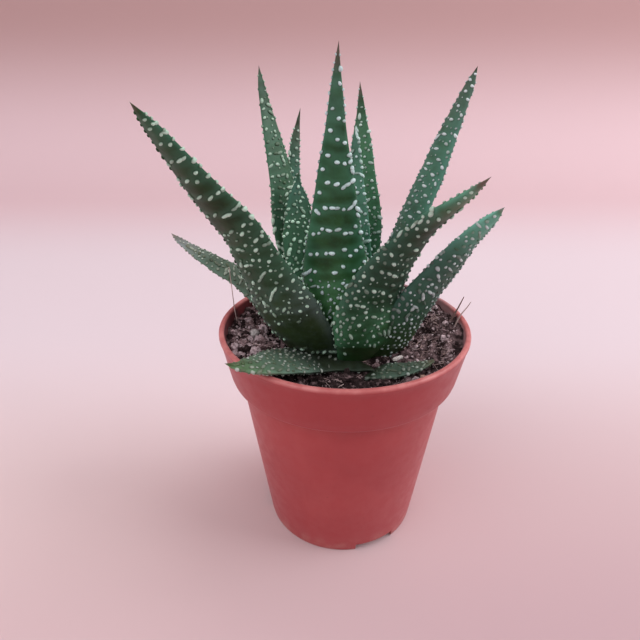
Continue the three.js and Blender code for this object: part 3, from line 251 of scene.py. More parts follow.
        (0.1348, 1.646, 0.53, 0.25, 15), (0.1621, 2.567, 0.45, 0.26, 44), (0.1808, 1.538, 0.65, 0.28, 8), (0.2282, 2.784, 0.45, 0.27, 44), (0.2308, 1.501, 0.69, 0.28, 3),
        (0.2442, 0.823, 0.71, 0.58, 124), (0.2602, 2.082, 0.65, 0.27, 7), (0.2815, 1.344, 0.8, 0.25, 177), (0.2842, 2.591, 0.42, 0.3, 37), (0.3142, 1.925, 0.72, 0.27, 0),
        (0.3336, 1.186, 0.74, 0.27, 180), (0.3356, 2.542, 0.48, 0.31, 30), (0.3529, 1.102, 0.8, 0.2, 13), (0.3662, 1.889, 0.8, 0.28, 8), (0.3809, 1.114, 0.53, 0.26, 176),
        (0.3909, 2.47, 0.47, 0.28, 51), (0.3969, 1.029, 0.8, 0.23, 168), (0.4096, 1.634, 0.8, 0.28, 1), (0.435, 1.114, 0.57, 0.29, 171), (0.4376, 2.058, 0.73, 0.26, 2),
        (0.453, 2.615, 0.4, 0.29, 32), (0.455, 1.065, 0.33, 0.2, 6), (0.4663, 1.586, 0.76, 0.29, 1), (0.4797, 1.041, 0.8, 0.3, 3), (0.497, 2.058, 0.73, 0.27, 3),
        (0.5083, 1.041, 0.59, 0.25, 171), (0.5223, 1.525, 0.8, 0.3, 2), (0.5377, 0.896, 0.58, 0.32, 171), (0.5897, 0.956, 0.4, 0.23, 171), (0.6164, 0.63, 0.74, 0.51, 71),
        (0.6511, 0.678, 0.8, 0.49, 22),
    ],
    "leaf_left_rear": [
        (0.1174, 0.738, 0.56, 0.29, 108), (0.1314, 2.046, 0.8, 0.39, 10), (0.1441, 0.847, 0.45, 0.2, 162), (0.1574, 2.022, 0.75, 0.31, 30), (0.1734, 0.763, 0.38, 0.25, 169),
        (0.1801, 1.985, 0.38, 0.25, 13), (0.2115, 0.751, 0.37, 0.25, 150), (0.2221, 1.804, 0.35, 0.28, 25), (0.2368, 1.768, 0.4, 0.23, 172), (0.2535, 0.702, 0.4, 0.28, 130),
        (0.2648, 1.755, 0.68, 0.34, 2), (0.2949, 1.78, 0.8, 0.29, 170), (0.2955, 0.666, 0.43, 0.28, 158), (0.2955, 1.38, 0.66, 0.26, 178), (0.3102, 1.913, 0.37, 0.34, 117),
        (0.3235, 1.961, 0.59, 0.29, 68), (0.3336, 1.307, 0.49, 0.32, 12), (0.3362, 0.581, 0.65, 0.25, 142), (0.3382, 1.961, 0.49, 0.23, 1), (0.3716, 1.659, 0.8, 0.24, 169),
        (0.3742, 0.605, 0.41, 0.26, 168), (0.3742, 1.247, 0.46, 0.29, 9), (0.3776, 1.998, 0.59, 0.38, 117), (0.3989, 1.683, 0.43, 0.27, 16), (0.4143, 1.247, 0.57, 0.28, 7),
        (0.4163, 2.397, 0.8, 0.29, 175), (0.4169, 2.058, 0.8, 0.32, 173), (0.4189, 0.508, 0.32, 0.29, 165), (0.439, 0.496, 0.25, 0.21, 10), (0.4403, 1.707, 0.66, 0.31, 151),
        (0.463, 1.162, 0.49, 0.3, 14), (0.465, 0.303, 0.37, 0.32, 126), (0.481, 1.489, 0.28, 0.2, 14), (0.4883, 0.932, 0.39, 0.2, 177), (0.5103, 0.351, 0.4, 0.29, 113),
        (0.5217, 1.138, 0.39, 0.3, 21), (0.527, 0.121, 0.75, 0.28, 93), (0.5544, 0.266, 0.57, 0.34, 117), (0.5597, 0.956, 0.31, 0.21, 1), (0.5657, 6.162, 0.8, 0.59, 135),
        (0.5971, 0.363, 0.41, 0.27, 15), (0.6117, 0.351, 0.76, 0.22, 59), (0.6258, 0.666, 0.68, 0.29, 68),
    ],
    "leaf_rear_left_inner": [
        (0.1007, 1.901, 0.31, 0.24, 107), (0.1381, 1.889, 0.31, 0.28, 120), (0.1768, 1.84, 0.35, 0.32, 155), (0.2001, 0.145, 0.8, 0.28, 69), (0.2115, 1.368, 0.33, 0.29, 152),
        (0.2262, 0.169, 0.51, 0.3, 80), (0.2302, 2.082, 0.35, 0.3, 123), (0.2775, 1.307, 0.39, 0.3, 162), (0.2889, 2.07, 0.34, 0.26, 172),
    ],
    "leaf_inner_left": [
        (0.0861, 1.501, 0.35, 0.29, 82), (0.1187, 1.622, 0.43, 0.23, 112), (0.1461, 1.901, 0.5, 0.24, 16), (0.1668, 1.61, 0.37, 0.29, 3), (0.1821, 1.065, 0.45, 0.31, 2),
        (0.2035, 1.659, 0.41, 0.3, 15), (0.2041, 0.508, 0.36, 0.29, 139), (0.2208, 1.768, 0.74, 0.34, 46), (0.2282, 0.182, 0.39, 0.28, 105), (0.2315, 2.554, 0.55, 0.5, 21),
        (0.2495, 1.731, 0.51, 0.29, 1), (0.2728, 0.484, 0.29, 0.2, 175), (0.2728, 0.993, 0.42, 0.32, 156), (0.2809, 1.356, 0.5, 0.28, 2), (0.2815, 2.215, 0.39, 0.35, 122),
        (0.2869, 1.804, 0.32, 0.26, 33), (0.2995, 0.69, 0.35, 0.31, 119), (0.3129, 1.998, 0.35, 0.26, 8), (0.3349, 0.581, 0.42, 0.26, 133), (0.3429, 1.937, 0.8, 0.33, 34),
        (0.3476, 0.242, 0.28, 0.23, 166), (0.3696, 1.852, 0.76, 0.37, 142), (0.3709, 1.077, 0.47, 0.32, 152), (0.3883, 1.429, 0.54, 0.3, 167), (0.3936, 0.847, 0.34, 0.31, 149),
        (0.4096, 1.671, 0.36, 0.31, 178), (0.4209, 0.678, 0.71, 0.32, 136), (0.4356, 0.569, 0.56, 0.33, 121), (0.4416, 1.247, 0.45, 0.31, 175), (0.4523, 1.598, 0.64, 0.36, 67),
        (0.4716, 0.969, 0.47, 0.29, 150), (0.4837, 0.315, 0.41, 0.29, 162), (0.4963, 1.005, 0.36, 0.25, 29), (0.5063, 1.32, 0.52, 0.3, 169), (0.525, 0.751, 0.68, 0.28, 0),
        (0.533, 1.126, 0.47, 0.25, 20), (0.5817, 0.86, 0.4, 0.36, 4), (0.8372, 1.731, 0.34, 0.28, 167),
    ],
    "leaf_rear_centre": [
        (0.1314, 1.295, 0.68, 0.56, 89), (0.1634, 1.501, 0.31, 0.25, 164), (0.1901, 3.051, 0.64, 0.4, 158), (0.2075, 1.925, 0.32, 0.3, 131), (0.2455, 2.712, 0.36, 0.29, 12),
        (0.2548, 1.925, 0.32, 0.3, 151), (0.2855, 1.659, 0.26, 0.23, 144), (0.3109, 2.3, 0.66, 0.26, 23), (0.3269, 1.671, 0.25, 0.23, 109), (0.3803, 2.24, 0.36, 0.32, 50),
        (0.3956, 1.768, 0.31, 0.28, 115), (0.4109, 2.228, 0.34, 0.25, 178), (0.4476, 2.228, 0.38, 0.28, 13), (0.4563, 1.646, 0.79, 0.25, 144), (0.4857, 2.155, 0.35, 0.3, 160),
        (0.4883, 3.136, 0.67, 0.49, 134), (0.4957, 1.755, 0.28, 0.27, 159), (0.521, 2.119, 0.33, 0.31, 154), (0.5217, 2.675, 0.64, 0.37, 34), (0.549, 2.167, 0.34, 0.27, 160),
        (0.555, 1.755, 0.38, 0.35, 32), (0.5764, 2.591, 0.63, 0.25, 161), (0.5811, 2.167, 0.42, 0.29, 160), (0.6077, 2.312, 0.27, 0.26, 40), (0.6344, 2.276, 0.34, 0.3, 37),
        (0.6664, 2.288, 0.37, 0.31, 127),
    ],
    "leaf_inner_right": [
        (0.0267, 1.816, 0.75, 0.23, 73), (0.0434, 2.01, 0.78, 0.22, 79), (0.0634, 2.47, 0.61, 0.2, 57), (0.0827, 2.821, 0.36, 0.24, 101), (0.1201, 2.93, 0.56, 0.24, 76),
        (0.1227, 0.92, 0.75, 0.4, 151), (0.1454, 1.949, 0.29, 0.27, 149), (0.1554, 0.642, 0.75, 0.5, 143), (0.1688, 2.978, 0.54, 0.22, 74), (0.1941, 3.172, 0.58, 0.43, 105),
        (0.2175, 1.913, 0.65, 0.24, 4), (0.2282, 2.857, 0.77, 0.23, 48), (0.2755, 2.833, 0.24, 0.22, 62), (0.3029, 1.731, 0.62, 0.3, 2), (0.3095, 2.772, 0.33, 0.26, 55),
        (0.3516, 2.627, 0.32, 0.27, 136), (0.3849, 1.985, 0.71, 0.35, 37), (0.3989, 2.542, 0.35, 0.31, 72), (0.4296, 2.615, 0.34, 0.26, 64), (0.453, 1.985, 0.3, 0.27, 33),
        (0.4883, 2.518, 0.34, 0.3, 64), (0.521, 2.603, 0.8, 0.29, 160), (0.525, 2.312, 0.72, 0.31, 155), (0.5544, 2.276, 0.54, 0.29, 48), (0.5804, 2.433, 0.33, 0.25, 173),
        (0.6084, 2.579, 0.4, 0.31, 138),
    ],
    "leaf_left_low": [
        (0.1354, 1.162, 0.75, 0.31, 95), (0.1561, 1.247, 0.8, 0.34, 93), (0.1815, 1.259, 0.48, 0.32, 140), (0.2101, 1.271, 0.53, 0.3, 162), (0.2448, 1.235, 0.44, 0.3, 151),
        (0.2895, 1.295, 0.5, 0.35, 136), (0.2909, 0.581, 0.42, 0.21, 146), (0.3215, 1.32, 0.8, 0.37, 109), (0.3442, 1.283, 0.54, 0.33, 140), (0.3616, 0.787, 0.52, 0.29, 137),
        (0.3669, 1.84, 0.8, 0.24, 130), (0.3929, 1.235, 0.8, 0.58, 156), (0.4076, 1.307, 0.8, 0.6, 149), (0.4089, 0.835, 0.8, 0.35, 160), (0.4109, 1.804, 0.8, 0.22, 144),
        (0.4423, 0.557, 0.64, 0.21, 145), (0.4423, 1.295, 0.8, 0.28, 141), (0.471, 0.823, 0.32, 0.22, 146), (0.4763, 1.344, 0.8, 0.4, 115), (0.4903, 1.295, 0.8, 0.48, 133),
        (0.499, 0.557, 0.23, 0.2, 159), (0.5037, 0.944, 0.8, 0.24, 157), (0.5157, 5.993, 0.8, 0.6, 71), (0.539, 6.114, 0.8, 0.59, 102), (0.555, 0.92, 0.38, 0.2, 151),
        (0.5784, 6.186, 0.8, 0.39, 31),
    ],
    "leaf_right_low": [
        (0.0967, 4.576, 0.69, 0.2, 19), (0.1061, 3.717, 0.74, 0.2, 5), (0.1274, 4.419, 0.34, 0.23, 34), (0.1408, 3.971, 0.3, 0.2, 49), (0.1408, 4.697, 0.77, 0.21, 36),
        (0.1641, 4.37, 0.49, 0.22, 13), (0.1668, 5.012, 0.38, 0.2, 26), (0.1841, 4.128, 0.28, 0.23, 11), (0.2095, 4.322, 0.39, 0.28, 180), (0.2168, 4.903, 0.67, 0.21, 20),
        (0.2335, 4.08, 0.56, 0.21, 8), (0.2622, 4.54, 0.8, 0.31, 18), (0.2635, 4.274, 0.36, 0.25, 14), (0.2682, 3.269, 0.34, 0.24, 94), (0.2775, 4.915, 0.8, 0.2, 29),
        (0.2795, 3.244, 0.34, 0.24, 99), (0.2929, 4.261, 0.4, 0.26, 2), (0.3015, 3.208, 0.34, 0.24, 93), (0.3256, 4.334, 0.32, 0.25, 22), (0.3316, 3.257, 0.34, 0.24, 90),
        (0.3316, 4.661, 0.8, 0.21, 28), (0.3429, 4.867, 0.8, 0.21, 30), (0.3442, 3.983, 0.73, 0.32, 30), (0.3529, 3.148, 0.34, 0.24, 97), (0.3642, 5.412, 0.8, 0.38, 24),
        (0.3789, 3.063, 0.34, 0.24, 107), (0.3789, 4.346, 0.74, 0.25, 42), (0.3989, 4.564, 0.51, 0.24, 36), (0.4063, 4.031, 0.58, 0.24, 172), (0.4196, 5, 0.72, 0.23, 33),
        (0.4263, 4.346, 0.38, 0.3, 13), (0.4383, 4.697, 0.56, 0.28, 35), (0.4663, 4.334, 0.35, 0.21, 48), (0.469, 4.576, 0.8, 0.27, 22), (0.471, 5.109, 0.45, 0.2, 39),
        (0.4763, 4.818, 0.8, 0.28, 29), (0.479, 4.068, 0.69, 0.31, 45), (0.4917, 4.976, 0.8, 0.25, 36), (0.4923, 4.382, 0.77, 0.26, 52), (0.5057, 3.257, 0.31, 0.22, 69),
        (0.5063, 4.479, 0.8, 0.28, 57), (0.525, 4.419, 0.52, 0.3, 32), (0.5317, 5.351, 0.45, 0.25, 44), (0.5344, 4.746, 0.8, 0.22, 40), (0.541, 3.547, 0.53, 0.45, 39),
        (0.549, 3.063, 0.34, 0.24, 151), (0.5604, 4.007, 0.6, 0.24, 65), (0.5637, 4.455, 0.8, 0.63, 18), (0.565, 5.048, 0.8, 0.27, 37), (0.5764, 3.608, 0.48, 0.23, 58),
        (0.5771, 4.395, 0.8, 0.44, 88), (0.5844, 4.685, 0.62, 0.27, 48), (0.6064, 3.789, 0.77, 0.31, 33), (0.6071, 3.426, 0.53, 0.32, 132), (0.6137, 4.516, 0.46, 0.3, 39),
        (0.6191, 4.37, 0.8, 0.47, 98), (0.6284, 4.939, 0.47, 0.27, 51), (0.6324, 5.436, 0.31, 0.24, 51), (0.6418, 4.443, 0.67, 0.25, 66), (0.6438, 3.717, 0.6, 0.22, 56),
        (0.6638, 5.375, 0.8, 0.27, 41), (0.6671, 4.419, 0.39, 0.26, 65), (0.6678, 4.77, 0.58, 0.29, 48), (0.6751, 3.874, 0.76, 0.2, 82), (0.7258, 3.571, 0.68, 0.25, 65),
        (0.7292, 5.436, 0.8, 0.2, 11), (0.7845, 5.533, 0.66, 0.41, 48), (0.8426, 5.169, 0.8, 0.55, 151), (0.8739, 4.77, 0.77, 0.34, 25), (0.8939, 5.157, 0.68, 0.38, 20),
        (0.9066, 4.588, 0.58, 0.37, 51), (0.9146, 4.939, 0.8, 0.64, 108),
    ],
    "leaf_front_low_left": [
        (0.0414, 1.368, 0.56, 0.4, 102), (0.0607, 1.525, 0.72, 0.44, 49), (0.0801, 0.363, 0.33, 0.23, 92), (0.0954, 1.828, 0.8, 0.35, 25), (0.1207, 1.029, 0.51, 0.29, 45),
        (0.1374, 1.719, 0.66, 0.31, 51), (0.1408, 0.363, 0.8, 0.24, 49), (0.1788, 1.065, 0.8, 0.25, 51), (0.2155, 0.799, 0.6, 0.23, 65), (0.2155, 1.852, 0.8, 0.34, 59),
        (0.2522, 0.605, 0.8, 0.24, 67), (0.2695, 1.307, 0.8, 0.23, 55), (0.2755, 1.816, 0.8, 0.33, 44), (0.3015, 0.533, 0.7, 0.23, 61), (0.3049, 1.065, 0.8, 0.26, 64),
        (0.3089, 2.082, 0.8, 0.45, 50), (0.3289, 0.375, 0.47, 0.2, 71), (0.3389, 1.852, 0.63, 0.32, 60), (0.3769, 1.695, 0.8, 0.3, 47), (0.3783, 0.678, 0.61, 0.44, 134),
        (0.3896, 1.005, 0.67, 0.25, 62), (0.3916, 0.557, 0.54, 0.44, 125), (0.3943, 1.32, 0.58, 0.27, 59), (0.4136, 2.228, 0.52, 0.21, 64), (0.4216, 1.646, 0.59, 0.3, 57),
        (0.4336, 0.678, 0.36, 0.26, 68), (0.451, 2.228, 0.52, 0.34, 52), (0.4536, 1.017, 0.62, 0.26, 60), (0.457, 0.605, 0.59, 0.44, 104), (0.4957, 1.416, 0.8, 0.21, 40),
        (0.4997, 1.768, 0.53, 0.31, 67), (0.5163, 0.847, 0.56, 0.27, 50), (0.5277, 0.521, 0.5, 0.2, 49), (0.5337, 2.554, 0.5, 0.33, 83), (0.5357, 1.199, 0.8, 0.23, 57),
        (0.5397, 1.828, 0.8, 0.35, 63), (0.567, 1.901, 0.8, 0.37, 58), (0.5837, 1.441, 0.8, 0.22, 51), (0.5931, 1.15, 0.61, 0.22, 42), (0.5937, 1.889, 0.62, 0.28, 36),
        (0.6131, 0.92, 0.6, 0.24, 35), (0.6464, 1.501, 0.68, 0.22, 26), (0.6818, 0.726, 0.59, 0.24, 18), (0.7145, 1.61, 0.66, 0.32, 30), (0.7398, 1.392, 0.57, 0.28, 20),
        (0.8706, 0.678, 0.8, 0.39, 31), (0.9006, 0.835, 0.6, 0.46, 61), (0.9106, 5.811, 0.45, 0.42, 12), (0.994, 6.235, 0.51, 0.36, 72),
    ],
    "leaf_front_low_right": [
        (0.1314, 2.07, 0.48, 0.32, 32), (0.1868, 2.337, 0.7, 0.26, 48), (0.2642, 1.562, 0.56, 0.39, 151), (0.3336, 1.344, 0.8, 0.26, 8), (0.3542, 2.082, 0.8, 0.28, 9),
        (0.4063, 1.477, 0.8, 0.37, 166), (0.4096, 1.961, 0.8, 0.28, 177), (0.4483, 1.15, 0.76, 0.26, 145), (0.4543, 2.421, 0.58, 0.23, 177), (0.5197, 1.925, 0.8, 0.4, 129),
        (0.545, 3.075, 0.24, 0.24, 90), (0.5477, 1.295, 0.8, 0.53, 17), (0.5744, 1.804, 0.56, 0.31, 178), (0.6044, 2.954, 0.4, 0.28, 175), (0.6391, 1.792, 0.46, 0.28, 152),
        (0.6865, 2.99, 0.38, 0.2, 109), (0.7051, 1.876, 0.56, 0.23, 154), (0.7352, 1.404, 0.8, 0.8, 146), (0.7685, 3.136, 0.8, 0.48, 77), (0.9967, 3.656, 0.8, 0.49, 49),
    ],
}

# Loose bits lying on the mix: centre, half sizes, turn about Z in degrees, seed.
BITS = {
    "bark_chip": ((11.2, -8.0, 46.6), (1.6, 0.45, 0.38), 30, 3),
    "grey_clod": ((-20.0, -1.0, 48.9), (1.3, 1.1, 1.0), 60, 8),
    "tan_chip": ((15.3, -17.0, 47.3), (1.2, 0.7, 0.6), -20, 5),
}

# The viewpoint, in mm about the pot's axis, and the angles it looks at in radians.
VIEWPOINT = np.array([-5.317, -103.506, 103.202])
VIEW_DOWN = math.radians(26.432)
VIEW_ROLL = math.radians(0.151)
VIEW_LENS, VIEW_SENSOR = 29.25, 36.0

# Share of each leaf's length, from the tip, down to which its near side was seen in the photo.
# Below it, and on the far side, tubercles follow the pattern of the leaf's kind.
SEEN_TO = {
    "leaf_front_centre": 0.84, "leaf_left_front": 0.95, "leaf_right_front": 0.95, "leaf_right_rear": 0.6,
    "leaf_left_rear": 0.6, "leaf_rear_left_inner": 0.3, "leaf_inner_left": 0.62, "leaf_rear_centre": 0.63,
    "leaf_inner_right": 0.58, "leaf_left_low": 0.7, "leaf_right_low": 0.95, "leaf_front_low_left": 0.97,
    "leaf_front_low_right": 0.95, "leaf_rear_low_left": 0.0, "leaf_rear_low_centre": 0.0,
    "leaf_rear_low_right": 0.0, "leaf_heart": 0.0,
}
# Paleness of the pearls on each leaf's outline, on its left and on its right as seen from the viewpoint; lower where
# that outline lies in shade, which is painted shade.
OUTLINE_LEVELS = {
    "leaf_left_front": (0.12, 0.8), "leaf_right_front": (0.7, 0.45), "leaf_right_low": (0.55, 0.3),
    "leaf_left_low": (0.4, 0.6), "leaf_front_low_left": (0.5, 0.5), "leaf_front_low_right": (0.5, 0.5),
}
OUTLINE_PITCH = 1.5
# How pale the tubercles of a leaf are: at its tip, at its foot, and how uneven
SEEN_PALENESS = {
    "leaf_front_centre": (1.05, 0.70, 0.20), "leaf_left_front": (0.95, 0.50, 0.22), "leaf_right_front": (0.76, 0.68, 0.25),
    "leaf_right_rear": (0.86, 0.80, 0.22), "leaf_left_rear": (0.48, 0.72, 0.22), "leaf_rear_left_inner": (0.70, 0.95, 0.15),
    "leaf_inner_left": (0.85, 0.80, 0.24), "leaf_rear_centre": (0.72, 0.75, 0.22), "leaf_inner_right": (0.70, 0.90, 0.18),
    "leaf_left_low": (0.22, 0.50, 0.14), "leaf_right_low": (0.42, 0.42, 0.17), "leaf_front_low_left": (0.28, 0.42, 0.12),
    "leaf_front_low_right": (0.24, 0.36, 0.12),
}


def seen_rows(name):
    """The tubercles read on a leaf, each with a paleness from its leaf's own level, a little uneven."""
    rows = np.array(SEEN_TUBERCLES.get(name, ()), float).reshape(-1, 5)
    tip, foot, spread = SEEN_PALENESS.get(name, (0.8, 0.8, 0.2))
    level = tip + (foot - tip) * rows[:, 0] + np.random.RandomState(900 + len(rows)).uniform(-1.7, 1.7, len(rows)) * spread
    return np.concatenate([rows, np.clip(level, 0.15, 1)[:, None]], 1)


# Leaves with fine pimples between the larger ones: from and to which share of the length, how far apart
# and how large, in mm.
FINE_LEAVES = {
    "leaf_left_low": (0.05, 0.9, 1.2, 0.31), "leaf_right_low": (0.05, 0.85, 1.35, 0.31),
    "leaf_front_low_left": (0.06, 0.62, 1.15, 0.31), "leaf_front_low_right": (0.06, 0.7, 1.15, 0.31),
    "leaf_right_rear": (0.08, 0.62, 1.65, 0.23), "leaf_rear_centre": (0.10, 0.66, 1.6, 0.23),
    "leaf_inner_right": (0.06, 0.62, 1.55, 0.22), "leaf_left_rear": (0.08, 0.64, 1.55, 0.23),
    "leaf_inner_left": (0.08, 0.66, 1.5, 0.23), "leaf_rear_left_inner": (0.08, 0.45, 1.5, 0.21),
    "leaf_right_front": (0.40, 0.84, 1.75, 0.24), "leaf_left_front": (0.42, 0.78, 1.9, 0.23),
    "leaf_front_centre": (0.66, 0.82, 1.7, 0.20),
}
OLD_LEAVES = ("leaf_left_low", "leaf_right_low", "leaf_front_low_left", "leaf_front_low_right",
              "leaf_rear_low_centre", "leaf_rear_low_left", "leaf_rear_low_right")


# ------------------------------------------------------------------ curves
class Spline:
    """Natural cubic spline through (x, y). y may hold several columns."""

    def __init__(self, x, y):
        x, y = np.asarray(x, float), np.asarray(y, float)
        n, h = len(x), np.diff(x)
        a = np.zeros((n, n))
        r = np.zeros((n,) + y.shape[1:])
        a[0, 0] = a[-1, -1] = 1
        for i in range(1, n - 1):
            a[i, i - 1], a[i, i], a[i, i + 1] = h[i - 1], 2 * (h[i - 1] + h[i]), h[i]
            r[i] = 6 * ((y[i + 1] - y[i]) / h[i] - (y[i] - y[i - 1]) / h[i - 1])
        self.x, self.y, self.h, self.m = x, y, h, np.linalg.solve(a, r)

    def parts(self, q):
        q = np.asarray(q, float)
        k = np.clip(np.searchsorted(self.x, q) - 1, 0, len(self.x) - 2)
        shape = q.shape + (1,) * (self.y.ndim - 1)
        return k, self.h[k].reshape(shape), (q - self.x[k]).reshape(shape), (self.x[k + 1] - q).reshape(shape)

    def __call__(self, q):
        k, h, d0, d1 = self.parts(q)
        y, m = self.y, self.m
        return ((m[k] * d1 ** 3 + m[k + 1] * d0 ** 3) / (6 * h) + (y[k] / h - m[k] * h / 6) * d1
                + (y[k + 1] / h - m[k + 1] * h / 6) * d0)

    def slope(self, q):
        k, h, d0, d1 = self.parts(q)
        y, m = self.y, self.m
        return (-m[k] * d1 ** 2 + m[k + 1] * d0 ** 2) / (2 * h) + (y[k + 1] - y[k]) / h - (m[k + 1] - m[k]) * h / 6


class Monotone:
    """Monotone cubic through (x, y), for widths, which must not overshoot."""

    def __init__(self, x, y):
        x, y = np.asarray(x, float), np.asarray(y, float)
        h, d = np.diff(x), np.diff(y) / np.diff(x)
        m = np.zeros(len(x))
        for i in range(1, len(x) - 1):
            if d[i - 1] * d[i] > 0:
                w1, w2 = 2 * h[i] + h[i - 1], h[i] + 2 * h[i - 1]
                m[i] = (w1 + w2) / (w1 / d[i - 1] + w2 / d[i])
        m[0], m[-1] = d[0], d[-1]
        self.x, self.y, self.h, self.m = x, y, h, m

    def __call__(self, q):
        x, y, h, m = self.x, self.y, self.h, self.m
        k = np.clip(np.searchsorted(x, q) - 1, 0, len(x) - 2)
        t = (q - x[k]) / h[k]
        return ((1 + 2 * t) * (1 - t) ** 2 * y[k] + t * (1 - t) ** 2 * h[k] * m[k]
                + t * t * (3 - 2 * t) * y[k + 1] + t * t * (t - 1) * h[k] * m[k + 1])


# ------------------------------------------------------------------ meshes
def make_object(name, verts_mm, faces, attributes=None, smooth=True):
    """faces is a list of tuples, or of arrays that each hold faces with the same number of corners."""
    verts = place(verts_mm)
    if not isinstance(faces[0], np.ndarray):
        sizes = sorted({len(f) for f in faces})
        faces = [np.array([f for f in faces if len(f) == k]) for k in sizes]
    sizes = np.concatenate([np.full(len(f), f.shape[1]) for f in faces])
    corners = np.concatenate([f.ravel() for f in faces])
    mesh = bpy.data.meshes.new(name)
    mesh.vertices.add(len(verts))
    mesh.vertices.foreach_set("co", verts.ravel().astype(np.float32))
    mesh.loops.add(len(corners))
    mesh.loops.foreach_set("vertex_index", corners.astype(np.int32))
    mesh.polygons.add(len(sizes))
    mesh.polygons.foreach_set("loop_start", np.r_[0, np.cumsum(sizes)[:-1]].astype(np.int32))
    mesh.update(calc_edges=True)
    for key, values in (attributes or {}).items():
        attr = mesh.attributes.new(key, "FLOAT", "POINT")
        attr.data.foreach_set("value", np.asarray(values, np.float32))
    mesh.polygons.foreach_set("use_smooth", np.full(len(mesh.polygons), smooth))
    mesh.update()
    obj = bpy.data.objects.new(name, mesh)
    bpy.context.scene.collection.objects.link(obj)
    return obj


def face_out(verts, faces):
    """Turns a closed mesh's faces outwards."""
    v = np.asarray(verts, float)
    total = 0.0
    for size in {len(f) for f in faces}:
        g = np.array([f for f in faces if len(f) == size])
        for k in range(1, size - 1):
            total += float(np.einsum("ij,ij->", v[g[:, 0]], np.cross(v[g[:, k]], v[g[:, k + 1]])))
    return [tuple(reversed(f)) for f in faces] if total < 0 else faces


class Parts:
    """Gathers closed shells into one mesh."""

    def __init__(self, *keys):
        self.verts, self.faces, self.count = [], {}, 0
        self.values = {k: [] for k in keys}

    def keep(self, faces):
        for k in {len(f) for f in faces}:
            self.faces.setdefault(k, []).append(np.array([f for f in faces if len(f) == k]) + self.count)

    def add(self, verts, faces, **values):
        """One shell."""
        verts = np.asarray(verts, float)
        self.keep(faces)
        self.verts.append(verts)
        self.count += len(verts)
        for k, kept in self.values.items():
            kept.append(np.broadcast_to(np.asarray(values[k], float), (len(verts),)))

    def add_many(self, verts, faces, **values):
        """Shells that share their faces: verts is shells x corners x 3, values are shells x corners."""
        n, size = verts.shape[:2]
        if not n:
            return
        first = self.count + size * np.arange(n)[:, None, None]
        for k in {len(f) for f in faces}:
            some = np.array([f for f in faces if len(f) == k])
            self.faces.setdefault(k, []).append((some[None] + first).reshape(-1, k))
        self.verts.append(verts.reshape(-1, 3))
        self.count += n * size
        for k, kept in self.values.items():
            kept.append(np.broadcast_to(np.asarray(values[k], float), (n, size)).ravel())

    def build(self, name, smooth=True):
        faces = [np.concatenate(v) for _, v in sorted(self.faces.items())]
        return make_object(name, np.concatenate(self.verts), faces,
                           {k: np.concatenate(v) for k, v in self.values.items()}, smooth)


# ------------------------------------------------------------------ leaves
# Tubercles: how much larger than read, and how far they stand out as a share of their half width
BEAD_SCALE = (1.15, 1.35)
BEAD_RISE = 0.85
HALO_ALONG, HALO_ACROSS = 0.75, 1.7


